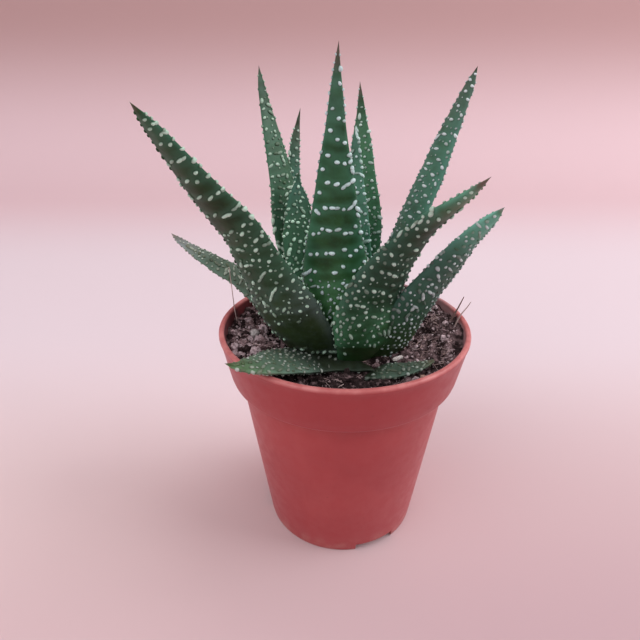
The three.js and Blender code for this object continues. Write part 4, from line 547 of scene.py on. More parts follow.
class Leaf:
    ROWS, ROUND = 104, 56

    def __init__(self, name, seed):
        self.name = name
        self.azimuth, self.roll, self.upper, self.lower, self.keel, stations = LEAVES[name]
        st = np.array(stations, float)
        self.pos, self.width = st[:, :3], st[:, 3]
        self.g = (np.arange(len(st)) / (len(st) - 1)) ** 1.1
        self.path, self.girths = Spline(self.g, self.pos), Monotone(self.g, self.width)
        fine = self.path(np.linspace(0, 1, 200))
        self.length = float(np.linalg.norm(np.diff(fine, axis=0), axis=1).sum())
        self.seed = seed
        self.rng = np.random.RandomState(1000 + seed)
        self.phase = self.rng.uniform(0, 2 * math.pi, 6)

    def frame(self, f):
        along = -self.path.slope(f)
        along /= np.linalg.norm(along, axis=-1, keepdims=True)
        az, r = math.radians(self.azimuth), math.radians(self.roll)
        b0 = np.array([-math.sin(az), math.cos(az), 0.0])
        out = np.array([math.cos(az), math.sin(az), 0.0])
        b = b0 - (along @ b0)[..., None] * along
        b /= np.linalg.norm(b, axis=-1, keepdims=True)
        n = np.cross(along, b)
        n *= np.where(n @ (np.array([0, 0, 0.5]) - out) < 0, -1.0, 1.0)[..., None]
        return along, math.cos(r) * b + math.sin(r) * n, math.cos(r) * n - math.sin(r) * b

    def section(self, f, th):
        """x along the width and y towards the inner face, in mm."""
        w = self.girths(f)
        tip = np.clip(1 - f / 0.35, 0, 1)
        up = self.upper * (1 + 0.9 * tip)
        low = self.lower * (1 + 0.35 * tip) * (1 - 0.25 * np.clip((f - 0.75) / 0.25, 0, 1))
        keel = np.minimum(self.keel + 0.35 * np.clip(1 - f / 0.6, 0, 1), 0.8)
        x, s = np.cos(th), np.sin(th)
        r = np.sqrt(np.clip(1 - x * x, 0, 1))
        # the keel's edge is rounded over
        ridge = 1 - np.sqrt(x * x + 0.02) + 0.1414 * np.abs(x)
        y = np.where(s >= 0, up * r, -low * ((1 - keel) * r + keel * ridge * (1 - 0.0 * x)))
        p = self.phase
        wave = (0.020 * np.sin(11 * f + 1.7 * np.cos(th + p[0]) + p[1]) + 0.014 * np.sin(23 * f - 2.1 * x + p[2])
                + 0.010 * np.sin(37 * f + 3 * np.sin(th + p[3]) + p[4]))
        k = w / 2 * (1 + wave * np.clip(f / 0.15, 0, 1))
        return x * k, y * k

    def at(self, f, th, lift=0.0):
        f, th = np.broadcast_arrays(np.asarray(f, float), np.asarray(th, float))
        f = np.clip(f, 0, 1)
        flat, t = f.ravel(), th.ravel()
        pos = self.path(flat)
        _, across, inner = self.frame(flat)
        x, y = self.section(flat, t)
        p = pos + x[:, None] * across + y[:, None] * inner
        if np.any(lift):
            n = self.normal(flat, t)
            p = p + n * np.broadcast_to(lift, f.shape).ravel()[:, None]
        return p.reshape(f.shape + (3,))

    def normal(self, f, th):
        e, h = 2e-3, 0.02
        f1, f2 = np.clip(f - e, 0, 1), np.clip(f + e, 0, 1)
        df = self.at(f2, th) - self.at(f1, th)
        dt = self.at(f, th + h) - self.at(f, th - h)
        n = np.cross(dt, df)
        n /= np.maximum(np.linalg.norm(n, axis=-1, keepdims=True), 1e-12)
        centre = self.path(f)
        inside = np.einsum("...i,...i", n, self.at(f, th) - centre) < 0
        return np.where(inside[..., None], -n, n)

    def body(self):
        rows = np.linspace(0, 1, self.ROWS + 1)[1:] ** 1.25
        rows = rows[rows > 0.002]
        th = np.linspace(0, 2 * math.pi, self.ROUND, endpoint=False)
        n = self.ROUND
        grid = self.at(rows[:, None], th[None])
        # how far the skin faces down, where the material paints shade
        down = np.clip((-0.50 - self.normal(*np.broadcast_arrays(rows[:, None], th[None]))[..., 2]) / 0.30, 0, 1)
        along, _, _ = self.frame(np.array([1.0]))
        foot = self.path(np.array([1.0]))[0]
        verts = [self.pos[0][None], grid.reshape(-1, 3)]
        cap = foot + (grid[-1] - foot) * 0.72 - along[0] * 0.8
        verts += [cap, (foot - along[0] * 1.1)[None]]
        share = [np.zeros(1), np.repeat(rows, n), np.ones(n + 1)]
        edge = [np.ones(1), np.tile(np.abs(np.cos(th)) ** 3, len(rows)), np.zeros(n + 1)]
        faces = [(0, 1 + j, 1 + (j + 1) % n) for j in range(n)]
        for i in range(len(rows)):
            a, b = 1 + i * n, 1 + (i + 1) * n
            faces += [(a + j, b + j, b + (j + 1) % n, a + (j + 1) % n) for j in range(n)]
        under = [np.zeros(1), down.reshape(-1), np.ones(n + 1)]
        last, end = 1 + len(rows) * n, 1 + (len(rows) + 1) * n
        faces += [(last + j, end, last + (j + 1) % n) for j in range(n)]
        v = np.concatenate(verts)
        return v, face_out(v - v.mean(0), faces), np.concatenate(share), np.concatenate(edge), np.concatenate(under)

    def girth(self, f):
        """Angles and the distance walked round the section at f."""
        th = np.linspace(-math.pi, 3 * math.pi, 721)
        x, y = self.section(np.full_like(th, f), th)
        return th, np.r_[0, np.cumsum(np.hypot(np.diff(x), np.diff(y)))]

    def beads(self, parts, rows, fine, high=BEAD_RISE):
        """Raised tubercles. Each row: share, angle, half sizes round the leaf and along it, turn, paleness."""
        rows = np.asarray(rows, float).reshape(-1, 6)
        if not len(rows):
            return
        f, th, ra, rb, turn, level = rows.T
        n = len(rows)
        segs, rings = (10, (0.5, 0.84, 1.0)) if fine else (12, (0.4, 0.68, 0.88, 1.0))
        tones = (1.0, 0.7, 0.05) if fine else (1.0, 0.96, 0.6, 0.05)
        rand = self.rng.uniform(0, 6.28, (n, 3))[:, :, None]
        a = np.linspace(0, 2 * math.pi, segs, endpoint=False)[None] + rand[:, 0]
        wobble = (1 + 0.07 * np.sin(2 * a + rand[:, 1]) + 0.05 * np.sin(3 * a + rand[:, 2]))[:, None]
        rho = np.array(rings)[None, :, None]
        col = lambda q: q[:, None, None]
        u, v = rho * np.cos(a)[:, None] * col(ra) * wobble, rho * np.sin(a)[:, None] * col(rb) * wobble
        c, s = col(np.cos(np.radians(turn))), col(np.sin(np.radians(turn)))
        da, db = (u * c - v * s).reshape(n, -1), (u * s + v * c).reshape(n, -1)
        top = (high * np.minimum(ra, rb) + 0.04) * (0.7 + 0.4 * level)
        rise = col(top) * (1 - rho ** 2) ** 0.55 * np.ones_like(u)
        rise[:, -1] = -0.03
        ff = np.concatenate([f[:, None], f[:, None] + db / self.length], 1)
        tt = np.empty_like(ff)
        fan = np.linspace(-math.pi, 3 * math.pi, 481)
        x, y = self.section(np.repeat(f, len(fan)), np.tile(fan, n))
        x, y = x.reshape(n, -1), y.reshape(n, -1)
        walked = np.concatenate([np.zeros((n, 1)), np.cumsum(np.hypot(np.diff(x), np.diff(y)), 1)], 1)
        for i in range(n):
            s0 = np.interp(th[i], fan, walked[i])
            tt[i] = np.interp(s0 + np.r_[0, da[i]], walked[i], fan)
        p = self.at(ff, tt, np.concatenate([top[:, None], rise.reshape(n, -1)], 1))
        out = self.normal(f, th)
        base = self.at(f, th) - out * 0.08
        verts = np.concatenate([p, base[:, None]], 1)
        tone = np.r_[1, np.repeat(tones, segs), 0][None] * level[:, None]
        k = len(rings)
        faces = [(0, 1 + j, 1 + (j + 1) % segs) for j in range(segs)]
        for i in range(k - 1):
            b0, b1 = 1 + i * segs, 1 + (i + 1) * segs
            faces += [(b0 + j, b1 + j, b1 + (j + 1) % segs, b0 + (j + 1) % segs) for j in range(segs)]
        e = 1 + (k - 1) * segs
        faces += [(e + j, 1 + k * segs, e + (j + 1) % segs) for j in range(segs)]
        weight = level.clip(0, 1) * np.clip(ra / 0.36, 0.2, 1.0) ** 2
        self.bead_spots.append(np.concatenate([self.at(f, th), weight[:, None], self.frame(f)[0]], 1))
        turned = np.einsum("ij,ij->i", np.cross(p[:, 2] - p[:, 0], p[:, 2 + segs // 4] - p[:, 0]), out) < 0
        for flip in (False, True):
            some = turned == flip
            if some.any():
                parts.add_many(verts[some], [tuple(reversed(q)) for q in faces] if flip else faces, tubercle=tone[some],
                               share=f[some, None], edge=0.0, halo=0.0, under=0.0)

    def facing(self, f, th):
        """How squarely the skin faces the viewpoint, -1 to 1."""
        f, th = np.atleast_1d(f), np.atleast_1d(th)
        p, n = self.at(f, th), self.normal(f, th)
        d = VIEWPOINT - p
        d /= np.linalg.norm(d, axis=1)[:, None]
        return np.einsum("ij,ij->i", n, d)

    def outline(self):
        """Shares, and the angles of the leaf's left and right outline as seen from the viewpoint."""
        fan, rows = np.linspace(0, 2 * math.pi, 121), []
        shares = np.linspace(0.02, 0.9, 45)
        seen = self.facing(np.repeat(shares, len(fan)), np.tile(fan, len(shares))).reshape(len(shares), -1)
        for f, v in zip(shares, seen):
            k = np.nonzero(v[:-1] * v[1:] < 0)[0]
            if len(k) == 2:
                t = fan[k] + (fan[k + 1] - fan[k]) * v[k] / (v[k] - v[k + 1])
                order = np.argsort(self.at(np.full(2, f), t)[:, 0])
                rows.append((f, t[order[0]], t[order[1]]))
        rows = np.array(rows)
        return rows[:, 0], np.unwrap(rows[:, 1]), np.unwrap(rows[:, 2])

    def pattern(self, parts):
        """Tubercles in cross rows on the sides that the photo doesn't show, and along the outlines."""
        rng, made = self.rng, []
        old = self.name in OLD_LEAVES
        size = 0.75 if self.length < 30 else (0.8 if old else 1.0)
        for outer in (True, False):
            step = (3.0 if outer else 3.3) * (0.75 if old else 1.0)
            pitch = (1.4 if outer else 1.9) * (0.8 if old else 1.0)
            at = rng.uniform(0.04, 0.06) * self.length
            row = 0
            while at < self.length * 0.93:
                f = at / self.length
                z = self.path(np.array([f]))[0][2]
                if z < (50.0 if outer else 52.0) and not (old and outer):
                    break
                angles, walked = self.girth(f)
                lo, hi = (math.pi, 2 * math.pi) if outer else (0.0, math.pi)
                s0, s1 = np.interp([lo, hi], angles, walked)
                width = s1 - s0
                n = max(1, int(round(width / pitch)))
                shift = 0.25 if row % 2 else -0.25
                for k in range(n):
                    s = s0 + width * (k + 0.5 + (shift if n > 1 else 0) + rng.uniform(-0.2, 0.2)) / n
                    th = float(np.interp(s, walked, angles))
                    ff = f + rng.uniform(-0.4, 0.4) / self.length
                    grow = size * (1.0 if outer else 0.8) * min(1.0, 0.55 + f * 3) * rng.uniform(0.85, 1.15)
                    bar = rng.uniform(1.35, 1.9) if (outer and not old and rng.rand() < 0.4) else rng.uniform(0.95, 1.2)
                    made.append((ff, th, 0.38 * grow * bar, 0.36 * grow, rng.uniform(-12, 12), rng.uniform(0.65, 0.95)))
                at += step * min(1.0, 0.6 + f * 1.6) * rng.uniform(0.9, 1.1)
                row += 1
        made = np.array(made).reshape(-1, 6)
        made = made[(self.facing(made[:, 0], made[:, 1]) < 0.12) | (made[:, 0] > SEEN_TO[self.name])]
        # small pearls along both outlines, and along the margins where these are another line
        rim, levels = [], OUTLINE_LEVELS.get(self.name, (0.75, 0.75))
        shares, *lines = self.outline()
        for side in (0, 1):
            at = rng.uniform(0.03, 0.04) * self.length
            while at < self.length * 0.86:
                f = at / self.length
                t = float(np.interp(f, shares, lines[side]))
                grow = size * min(1.0, 0.6 + 2.5 * f) * rng.uniform(0.85, 1.2)
                level = levels[side] * rng.uniform(0.75, 1.15)
                rim.append((f, t + rng.uniform(-0.06, 0.02), 0.30 * grow, 0.33 * grow, 0, level))
                at += OUTLINE_PITCH * rng.uniform(0.8, 1.25) * min(1.0, 0.65 + 1.6 * f)
        for edge_at in (0.0, math.pi):
            line = []
            at = rng.uniform(0.05, 0.07) * self.length
            while at < self.length * 0.8:
                line.append((at / self.length, edge_at + rng.uniform(-0.1, 0.1), 0.28 * size * rng.uniform(0.85, 1.15),
                             0.31 * size * rng.uniform(0.9, 1.2), 0, rng.uniform(0.6, 0.95)))
                at += rng.uniform(1.8, 2.7)
            line = np.array(line)
            rim += [tuple(q) for q in line[self.facing(line[:, 0], np.full(len(line), edge_at)) < -0.15]]
        # the fine pimples between the larger tubercles
        if self.name in FINE_LEAVES:
            top, bottom, pitch, fine_size = FINE_LEAVES[self.name]
            at = top * self.length
            row = 0
            while at < bottom * self.length:
                f = at / self.length
                angles, walked = self.girth(f)
                total = np.interp(2 * math.pi, angles, walked) - np.interp(0.0, angles, walked)
                n = max(3, int(round(total / pitch)))
                for k in range(n):
                    s = np.interp(0.0, angles, walked) + total * (k + 0.5 * (row % 2) + rng.uniform(-0.25, 0.25)) / n
                    th = float(np.interp(s, walked, angles))
                    wide = fine_size * rng.uniform(0.75, 1.3)
                    rim.append((f + rng.uniform(-0.3, 0.3) / self.length, th, wide * rng.uniform(0.9, 1.35), wide,
                                rng.uniform(-40, 40), rng.uniform(0.35, 0.8)))
                at += pitch * 0.92
                row += 1
        rim = np.array(rim).reshape(-1, 6)
        # what was read comes first; the others keep clear of it and of each other
        taken = [row for row in seen_rows(self.name)]
        spots = list(self.at(np.array([r[0] for r in taken]), np.array([r[1] for r in taken]))) if taken else []
        reach = [max(r[2] * BEAD_SCALE[0], r[3] * BEAD_SCALE[1]) * 0.8 for r in taken]
        wanted, kept = np.concatenate([made, rim]), []
        points = self.at(wanted[:, 0], wanted[:, 1])
        for m, p in zip(wanted, points):
            mine = max(m[2], m[3])
            if spots and np.any(np.linalg.norm(np.array(spots) - p, axis=1) < np.array(reach) + mine + 0.05):
                continue
            spots.append(p)
            reach.append(mine)
            kept.append(m)
        self.beads(parts, kept, True)

    def build(self):
        self.bead_spots = []
        parts = Parts("tubercle", "share", "edge", "halo", "under")
        verts, faces, share, edge, under = self.body()
        seen = seen_rows(self.name)
        if self.name == "leaf_front_low_left":
            seen = seen[seen[:, 0] < 0.8]
        if len(seen):
            # those read close to an outline were read too large
            most = np.where(self.facing(seen[:, 0], seen[:, 1]) < 0.4, 0.36, 1.1)
            seen[:, 2] = np.minimum(seen[:, 2] * BEAD_SCALE[0], most)
            seen[:, 3] = np.minimum(np.minimum(seen[:, 3] * BEAD_SCALE[1], most), 0.42)
            self.beads(parts, seen, False)
        self.pattern(parts)
        # the skin is paler close to its tubercles, in bands across the leaf
        spots = np.concatenate(self.bead_spots)
        halo = np.zeros(len(verts))
        for k in range(0, len(verts), 500):
            d = verts[k:k + 500, None] - spots[None, :, :3]
            along = (d * spots[None, :, 4:]).sum(2)
            across2 = (d ** 2).sum(2) - along ** 2
            near = np.exp(-(along / HALO_ALONG) ** 2 - across2 / HALO_ACROSS ** 2)
            halo[k:k + 500] = 1 - np.prod(1 - 0.8 * spots[None, :, 3] * near, 1)
        parts.add(verts, faces, tubercle=0.0, share=share, edge=edge, halo=halo, under=under)
        return parts.build(self.name + "_skin")


# ------------------------------------------------------------------ node materials
class Nodes:
    """A small helper for node materials."""

    def __init__(self, name):
        self.material = bpy.data.materials.new(name)
        self.material.use_nodes = True
        self.tree = self.material.node_tree
        self.tree.nodes.clear()
        self.out = self.tree.nodes.new("ShaderNodeOutputMaterial")
        self.bsdf = self.tree.nodes.new("ShaderNodeBsdfPrincipled")
        self.link(self.bsdf.outputs[0], self.out.inputs["Surface"])
        self.coords = self.tree.nodes.new("ShaderNodeTexCoord").outputs["Object"]

    def link(self, a, b):
        self.tree.links.new(a, b)

    def put(self, socket, value):
        if isinstance(value, bpy.types.NodeSocket):
            self.link(value, socket)
        else:
            socket.default_value = value

    def attribute(self, name):
        n = self.tree.nodes.new("ShaderNodeAttribute")
        n.attribute_name = name
        return n.outputs["Fac"]

    def noise(self, scale, detail=3.0, rough=0.55, distort=0.0, stretch=None):
        n = self.tree.nodes.new("ShaderNodeTexNoise")
        n.inputs["Scale"].default_value = scale
        n.inputs["Detail"].default_value = detail
        n.inputs["Roughness"].default_value = rough
        n.inputs["Distortion"].default_value = distort
        vector = self.coords
        if stretch:
            m = self.tree.nodes.new("ShaderNodeMapping")
            m.inputs["Scale"].default_value = stretch
            self.link(vector, m.inputs["Vector"])
            vector = m.outputs[0]
        self.link(vector, n.inputs["Vector"])
        return n.outputs["Fac"]

    def cells(self, scale, feature="F1", out="Distance", jitter=1.0):
        n = self.tree.nodes.new("ShaderNodeTexVoronoi")
        n.feature = feature
        n.inputs["Scale"].default_value = scale
        n.inputs["Randomness"].default_value = jitter
        self.link(self.coords, n.inputs["Vector"])
        return n.outputs[out]

    def ramp(self, fac, lo, hi, a=0.0, b=1.0):
        n = self.tree.nodes.new("ShaderNodeMapRange")
        n.interpolation_type = "SMOOTHSTEP"
        n.inputs["From Min"].default_value, n.inputs["From Max"].default_value = lo, hi
        n.inputs["To Min"].default_value, n.inputs["To Max"].default_value = a, b
        self.put(n.inputs["Value"], fac)
        return n.outputs[0]

    def maths(self, kind, a, b=0.0, c=0.0):
        n = self.tree.nodes.new("ShaderNodeMath")
        n.operation = kind
        for i, v in enumerate((a, b, c)):
            self.put(n.inputs[i], v)
        return n.outputs[0]

    def mix(self, fac, a, b, kind="MIX"):
        n = self.tree.nodes.new("ShaderNodeMix")
        n.data_type, n.blend_type = "RGBA", kind
        self.put(n.inputs["Factor"], fac)
        for socket, v in ((n.inputs[6], a), (n.inputs[7], b)):
            self.put(socket, v if isinstance(v, bpy.types.NodeSocket) else tuple(v) + ((1.0,) if len(v) == 3 else ()))
        return n.outputs[2]

    def bump(self, height, strength, distance, after=None):
        n = self.tree.nodes.new("ShaderNodeBump")
        n.inputs["Strength"].default_value = strength
        n.inputs["Distance"].default_value = distance
        self.put(n.inputs["Height"], height)
        if after is not None:
            self.link(after, n.inputs["Normal"])
        return n.outputs[0]

    def height_z(self):
        n = self.tree.nodes.new("ShaderNodeSeparateXYZ")
        self.link(self.coords, n.inputs[0])
        return n.outputs["Z"]


def srgb(r, g, b):
    """A colour given as 0 to 255, as the shader wants it."""
    return tuple((v / 255 / 12.92) if v / 255 <= 0.04045 else ((v / 255 + 0.055) / 1.055) ** 2.4 for v in (r, g, b))


def scaled(colour, by, towards=None, share=0.0):
    """A linear colour multiplied, and drawn towards another."""
    c = np.array(colour) * np.array(by)
    if towards is not None:
        c = c * (1 - share) + np.array(towards) * share
    return tuple(float(min(v, 0.9)) for v in c)


def leaf_material(name, green, upper, foot, tip, dry, bead, foot_from=0.55, shine=0.47):
    """Skin of a leaf: soft blotches of its green, a paler bloom, a dried tip and pale tubercles.

    upper and foot say how much its green is lighter or darker near the tip and at the foot: partly the leaf's own
    colour, partly painted light and painted shade."""
    m = Nodes(name)
    share, tubercle, edge, halo, under = (m.attribute(k) for k in ("share", "tubercle", "edge", "halo", "under"))
    blotch = m.noise(170, 4, 0.6, 0.3)
    fine = m.noise(1150, 3, 0.6)
    grain = m.noise(4200, 2, 0.5)
    base = srgb(*green)
    bloom_colour = tuple(v + w for v, w in zip(scaled(base, (1.75, 1.75, 2.1)), (0.022, 0.05, 0.05)))
    underside_shade = scaled(base, 0.8, (0.085, 0.062, 0.042), 0.6)
    c = m.mix(m.ramp(blotch, 0.34, 0.68), scaled(base, (0.62, 0.60, 0.50)), scaled(base, (1.18, 1.16, 0.98)))
    c = m.mix(m.maths("MULTIPLY", m.ramp(fine, 0.42, 0.74), 0.18), c, bloom_colour)
    near = m.maths("ADD", m.maths("MULTIPLY", m.ramp(edge, 0.25, 1.0), 0.42), m.maths("MULTIPLY", m.ramp(halo, 0.05, 0.95), 0.78))
    c = m.mix(m.maths("MINIMUM", near, 0.85), c, bloom_colour)
    # darker and browner where the skin faces down: painted shade on the undersides, tinted brown
    c = m.mix(m.maths("MULTIPLY", under, m.ramp(blotch, 0.3, 0.6, 0.3, 0.65)), c, underside_shade)
    # along the leaf: lighter or darker near the tip and at the foot, partly own colour and partly painted light and
    # painted shade
    c = m.mix(m.ramp(share, 0.30, 0.05), c, m.mix(1.0, c, tuple(upper), "MULTIPLY"))
    c = m.mix(m.ramp(share, foot_from, foot_from * 0.7 + 0.4), c, m.mix(1.0, c, tuple(foot), "MULTIPLY"))
    ragged = m.maths("ADD", share, m.maths("MULTIPLY", m.maths("SUBTRACT", m.noise(700, 2), 0.5), dry))
    c = m.mix(m.ramp(ragged, dry, dry * 0.3), c, m.mix(fine, srgb(*tip), scaled(srgb(*tip), 0.6)))
    pearl = m.mix(m.ramp(grain, 0.3, 0.7, 0.0, 0.5), srgb(*bead), scaled(srgb(*bead), 0.72))
    c = m.mix(m.ramp(tubercle, 0.0, 1.0), c, pearl)
    m.put(m.bsdf.inputs["Base Color"], c)
    rough = m.ramp(fine, 0.3, 0.7, shine - 0.05, shine + 0.09)
    m.put(m.bsdf.inputs["Roughness"], m.maths("ADD", rough, m.maths("MULTIPLY", tubercle, 0.18)))
    m.bsdf.inputs["Specular IOR Level"].default_value = 0.26
    m.bsdf.inputs["Subsurface Weight"].default_value = 0.06
    m.bsdf.inputs["Subsurface Radius"].default_value = (0.0006, 0.0012, 0.0005)
    m.bsdf.inputs["Subsurface Scale"].default_value = 1.0
    b1 = m.bump(fine, 0.25, 0.00012)
    m.put(m.bsdf.inputs["Normal"], m.bump(grain, 0.22, 0.00004, b1))
    return m.material


LEAF_LOOKS = {
    # green, how much lighter near the tip, and at the foot (partly own colour, partly painted light and painted shade),
    # dried tip, how far down it is dry, tubercles
    "leaf_front_centre": ((35, 77, 43), (1.59, 1.19, 1.48), (2.4, 2.03, 1.61), (98, 86, 80), 0.085, (213, 241, 240)),
    "leaf_left_front": ((27, 57, 25), (1.15, 1.47, 1.51), (2.3, 1.17, 1.8), (96, 90, 76), 0.03, (193, 227, 206)),
    "leaf_right_front": ((22, 52, 26), (4.0, 3.76, 3.91), (1.92, 1.92, 1.5), (118, 108, 96), 0.08, (183, 210, 193)),
    "leaf_right_rear": ((59, 100, 76), (0.93, 0.63, 0.64), (1, 1, 1), (74, 74, 66), 0.025, (226, 241, 241)),
    "leaf_left_rear": ((47, 79, 49), (0.7, 0.68, 0.71), (1, 1, 1), (84, 84, 76), 0.025, (192, 224, 202)),
    "leaf_rear_left_inner": ((45, 80, 56), (1.05, 0.5, 0.48), (0.8, 0.8, 0.8), (78, 76, 70), 0.025, (206, 234, 217)),
    "leaf_inner_left": ((37, 70, 38), (0.8, 0.93, 1.14), (0.8, 0.8, 0.8), (70, 84, 70), 0.025, (199, 235, 212)),
    "leaf_rear_centre": ((59, 103, 64), (0.4, 0.4, 0.4), (1, 1, 1), (92, 82, 70), 0.07, (215, 241, 230)),
    "leaf_inner_right": ((60, 103, 76), (0.84, 0.78, 0.82), (0.8, 0.8, 0.8), (80, 86, 74), 0.025, (212, 241, 236)),
    "leaf_left_low": ((65, 82, 61), (2.42, 1.64, 2.25), (0.55, 0.55, 0.55), (144, 138, 132), 0.05, (214, 231, 215)),
    "leaf_right_low": ((36, 69, 48), (3.9, 3.64, 3.9), (0.8, 0.67, 0.33), (138, 148, 140), 0.03, (224, 241, 241)),
    "leaf_front_low_left": ((77, 95, 74), (0.93, 1.07, 0.73), (0.26, 0.24, 0.23), (116, 116, 86), 0.025, (206, 217, 207), 0.38),
    "leaf_front_low_right": ((59, 72, 54), (1.23, 0.9, 0.76), (0.36, 0.36, 0.28), (118, 100, 92), 0.025, (179, 195, 184)),
    "leaf_rear_low_left": ((52, 87, 65), (1.1, 1.1, 1.1), (0.8, 0.8, 0.8), (104, 92, 84), 0.025, (222, 242, 230)),
    "leaf_rear_low_centre": ((52, 87, 65), (1.1, 1.1, 1.1), (0.8, 0.8, 0.8), (104, 92, 84), 0.025, (222, 242, 230)),
    "leaf_rear_low_right": ((52, 87, 65), (1.1, 1.1, 1.1), (0.8, 0.8, 0.8), (104, 92, 84), 0.025, (222, 242, 230)),
    "leaf_heart": ((63, 114, 77), (1.1, 1.1, 1.1), (0.8, 0.8, 0.8), (96, 110, 84), 0.025, (222, 242, 230)),
}

for seed, leaf_name in enumerate(LEAVES):
    piece = Leaf(leaf_name, seed).build()
    piece.data.materials.append(leaf_material(leaf_name, *LEAF_LOOKS[leaf_name]))
    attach(piece, "root")
    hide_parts(leaf_name)


# ------------------------------------------------------------------ pot
def lathe(profile, segments):
    """A closed body of revolution. The profile starts and ends on the axis."""
    th = np.linspace(0, 2 * math.pi, segments, endpoint=False)
    inner = profile[1:-1]
    verts = [(0, 0, profile[0][1])]
    for r, z in inner:
        verts += [(r * math.cos(a), r * math.sin(a), z) for a in th]
    verts.append((0, 0, profile[-1][1]))
    faces = [(0, 1 + (j + 1) % segments, 1 + j) for j in range(segments)]
    for i in range(len(inner) - 1):
        a, b = 1 + i * segments, 1 + (i + 1) * segments
        faces += [(a + j, a + (j + 1) % segments, b + (j + 1) % segments, b + j) for j in range(segments)]
    a, end = 1 + (len(inner) - 1) * segments, 1 + len(inner) * segments
    faces += [(a + j, a + (j + 1) % segments, end) for j in range(segments)]
    return np.array(verts, float), face_out(verts, faces)


def pot_inside(z):
    if z < COLLAR_STEP_Z + 0.8:
        return POT_FOOT_RADIUS + (BODY_TOP_RADIUS - POT_FOOT_RADIUS) * z / COLLAR_STEP_Z - WALL
    t = (z - COLLAR_STEP_Z) / (POT_HEIGHT - LIP_HEIGHT - COLLAR_STEP_Z)
    return COLLAR_FOOT_RADIUS + (COLLAR_TOP_RADIUS - COLLAR_FOOT_RADIUS) * t - WALL


def arc(cx, cz, r, a0, a1, n):
    return [(cx + r * math.cos(math.radians(a)), cz + r * math.sin(math.radians(a))) for a in np.linspace(a0, a1, n)]


def pot_profile():
    lip = POT_HEIGHT - LIP_HEIGHT
    floor_top = BASE_RAISE + BASE_THICKNESS
    body = lambda z: POT_FOOT_RADIUS + (BODY_TOP_RADIUS - POT_FOOT_RADIUS) * z / COLLAR_STEP_Z
    collar = lambda z: COLLAR_FOOT_RADIUS + (COLLAR_TOP_RADIUS - COLLAR_FOOT_RADIUS) * (z - COLLAR_STEP_Z) / (lip - COLLAR_STEP_Z)
    p = [(0, BASE_RAISE), (6, BASE_RAISE), (12, BASE_RAISE), (FOOT_RING_INNER_RADIUS - 0.35, BASE_RAISE)]
    p += [(FOOT_RING_INNER_RADIUS - 0.1, BASE_RAISE - 0.25), (FOOT_RING_INNER_RADIUS, 0.25), (FOOT_RING_INNER_RADIUS + 0.25, 0)]
    p += [(POT_FOOT_RADIUS - 0.45, 0)] + arc(POT_FOOT_RADIUS - 0.45, 0.45, 0.45, -70, 0, 5)
    p += [(body(z), z) for z in np.linspace(1.2, COLLAR_STEP_Z - 0.5, 16)]
    # the fillet under the collar, its rounded foot, and the collar's wall
    p += [(BODY_TOP_RADIUS + 0.06, COLLAR_STEP_Z - 0.15), (BODY_TOP_RADIUS + 0.28, COLLAR_STEP_Z + 0.02), (BODY_TOP_RADIUS + 0.7, COLLAR_STEP_Z + 0.08)]
    p += arc(COLLAR_FOOT_RADIUS - 0.62, COLLAR_STEP_Z + 0.78, 0.66, -70, 0, 5)
    p += [(collar(z), z) for z in np.linspace(COLLAR_STEP_Z + 1.5, lip - 0.5, 8)]
    inner = pot_inside(lip)
    p += [(COLLAR_TOP_RADIUS + 0.02, lip - 0.2), (COLLAR_TOP_RADIUS + 0.08, lip), (POT_TOP_RADIUS - 0.03, lip + 0.18), (POT_TOP_RADIUS, lip + 0.35)]
    p += arc(POT_TOP_RADIUS - 0.5, POT_HEIGHT - 0.5, 0.5, 0, 90, 6)
    p += arc(inner + 0.4, POT_HEIGHT - 0.4, 0.4, 90, 175, 5)
    p += [(inner, POT_HEIGHT - 0.8), (pot_inside(lip - 0.8), lip - 0.8)]
    p += [(pot_inside(z), z) for z in np.linspace(lip - 1.8, COLLAR_STEP_Z + 2.4, 6)]
    p += [(pot_inside(COLLAR_STEP_Z - 1.0), COLLAR_STEP_Z - 0.6)]
    p += [(pot_inside(z), z) for z in np.linspace(COLLAR_STEP_Z - 4, floor_top + 0.8, 6)]
    p += [(pot_inside(floor_top) - 0.7, floor_top), (9, floor_top), (0, floor_top)]
    return p


def solid(name, verts, faces):
    obj = make_object(name, verts, faces, smooth=False)
    return obj


def cut(target, tools):
    """Takes the tools away from the target, and removes them."""
    for tool in tools:
        mod = target.modifiers.new("cut", "BOOLEAN")
        mod.operation, mod.object, mod.solver = "DIFFERENCE", tool, "EXACT"
    deps = bpy.context.evaluated_depsgraph_get()
    deps.update()
    mesh = bpy.data.meshes.new_from_object(target.evaluated_get(deps))
    target.modifiers.clear()
    old = target.data
    target.data = mesh
    bpy.data.meshes.remove(old)
    for tool in tools:
        data = tool.data
        bpy.data.objects.remove(tool)
        bpy.data.meshes.remove(data)


def box_tool(centre, half, turn):
    v = np.array([[x, y, z] for x in (-1, 1) for y in (-1, 1) for z in (-1, 1)], float) * half
    c, s = math.cos(math.radians(turn)), math.sin(math.radians(turn))
    r = math.hypot(centre[0], centre[1])
    v = v + [r, 0, centre[2]]
    v = np.stack([v[:, 0] * c - v[:, 1] * s, v[:, 0] * s + v[:, 1] * c, v[:, 2]], 1)
    f = [(0, 1, 3, 2), (4, 6, 7, 5), (0, 4, 5, 1), (2, 3, 7, 6), (0, 2, 6, 4), (1, 5, 7, 3)]
    return solid("tool", v, face_out(v - v.mean(0), f))


def rod_tool(x, y, r, z0, z1, n=32):
    a = np.linspace(0, 2 * math.pi, n, endpoint=False)
    v = np.array([(x + r * math.cos(t), y + r * math.sin(t), z) for z in (z0, z1) for t in a])
    f = [(j, (j + 1) % n, n + (j + 1) % n, n + j) for j in range(n)] + [tuple(reversed(range(n))), tuple(range(n, 2 * n))]
    return solid("tool", v, face_out(v - v.mean(0), f))


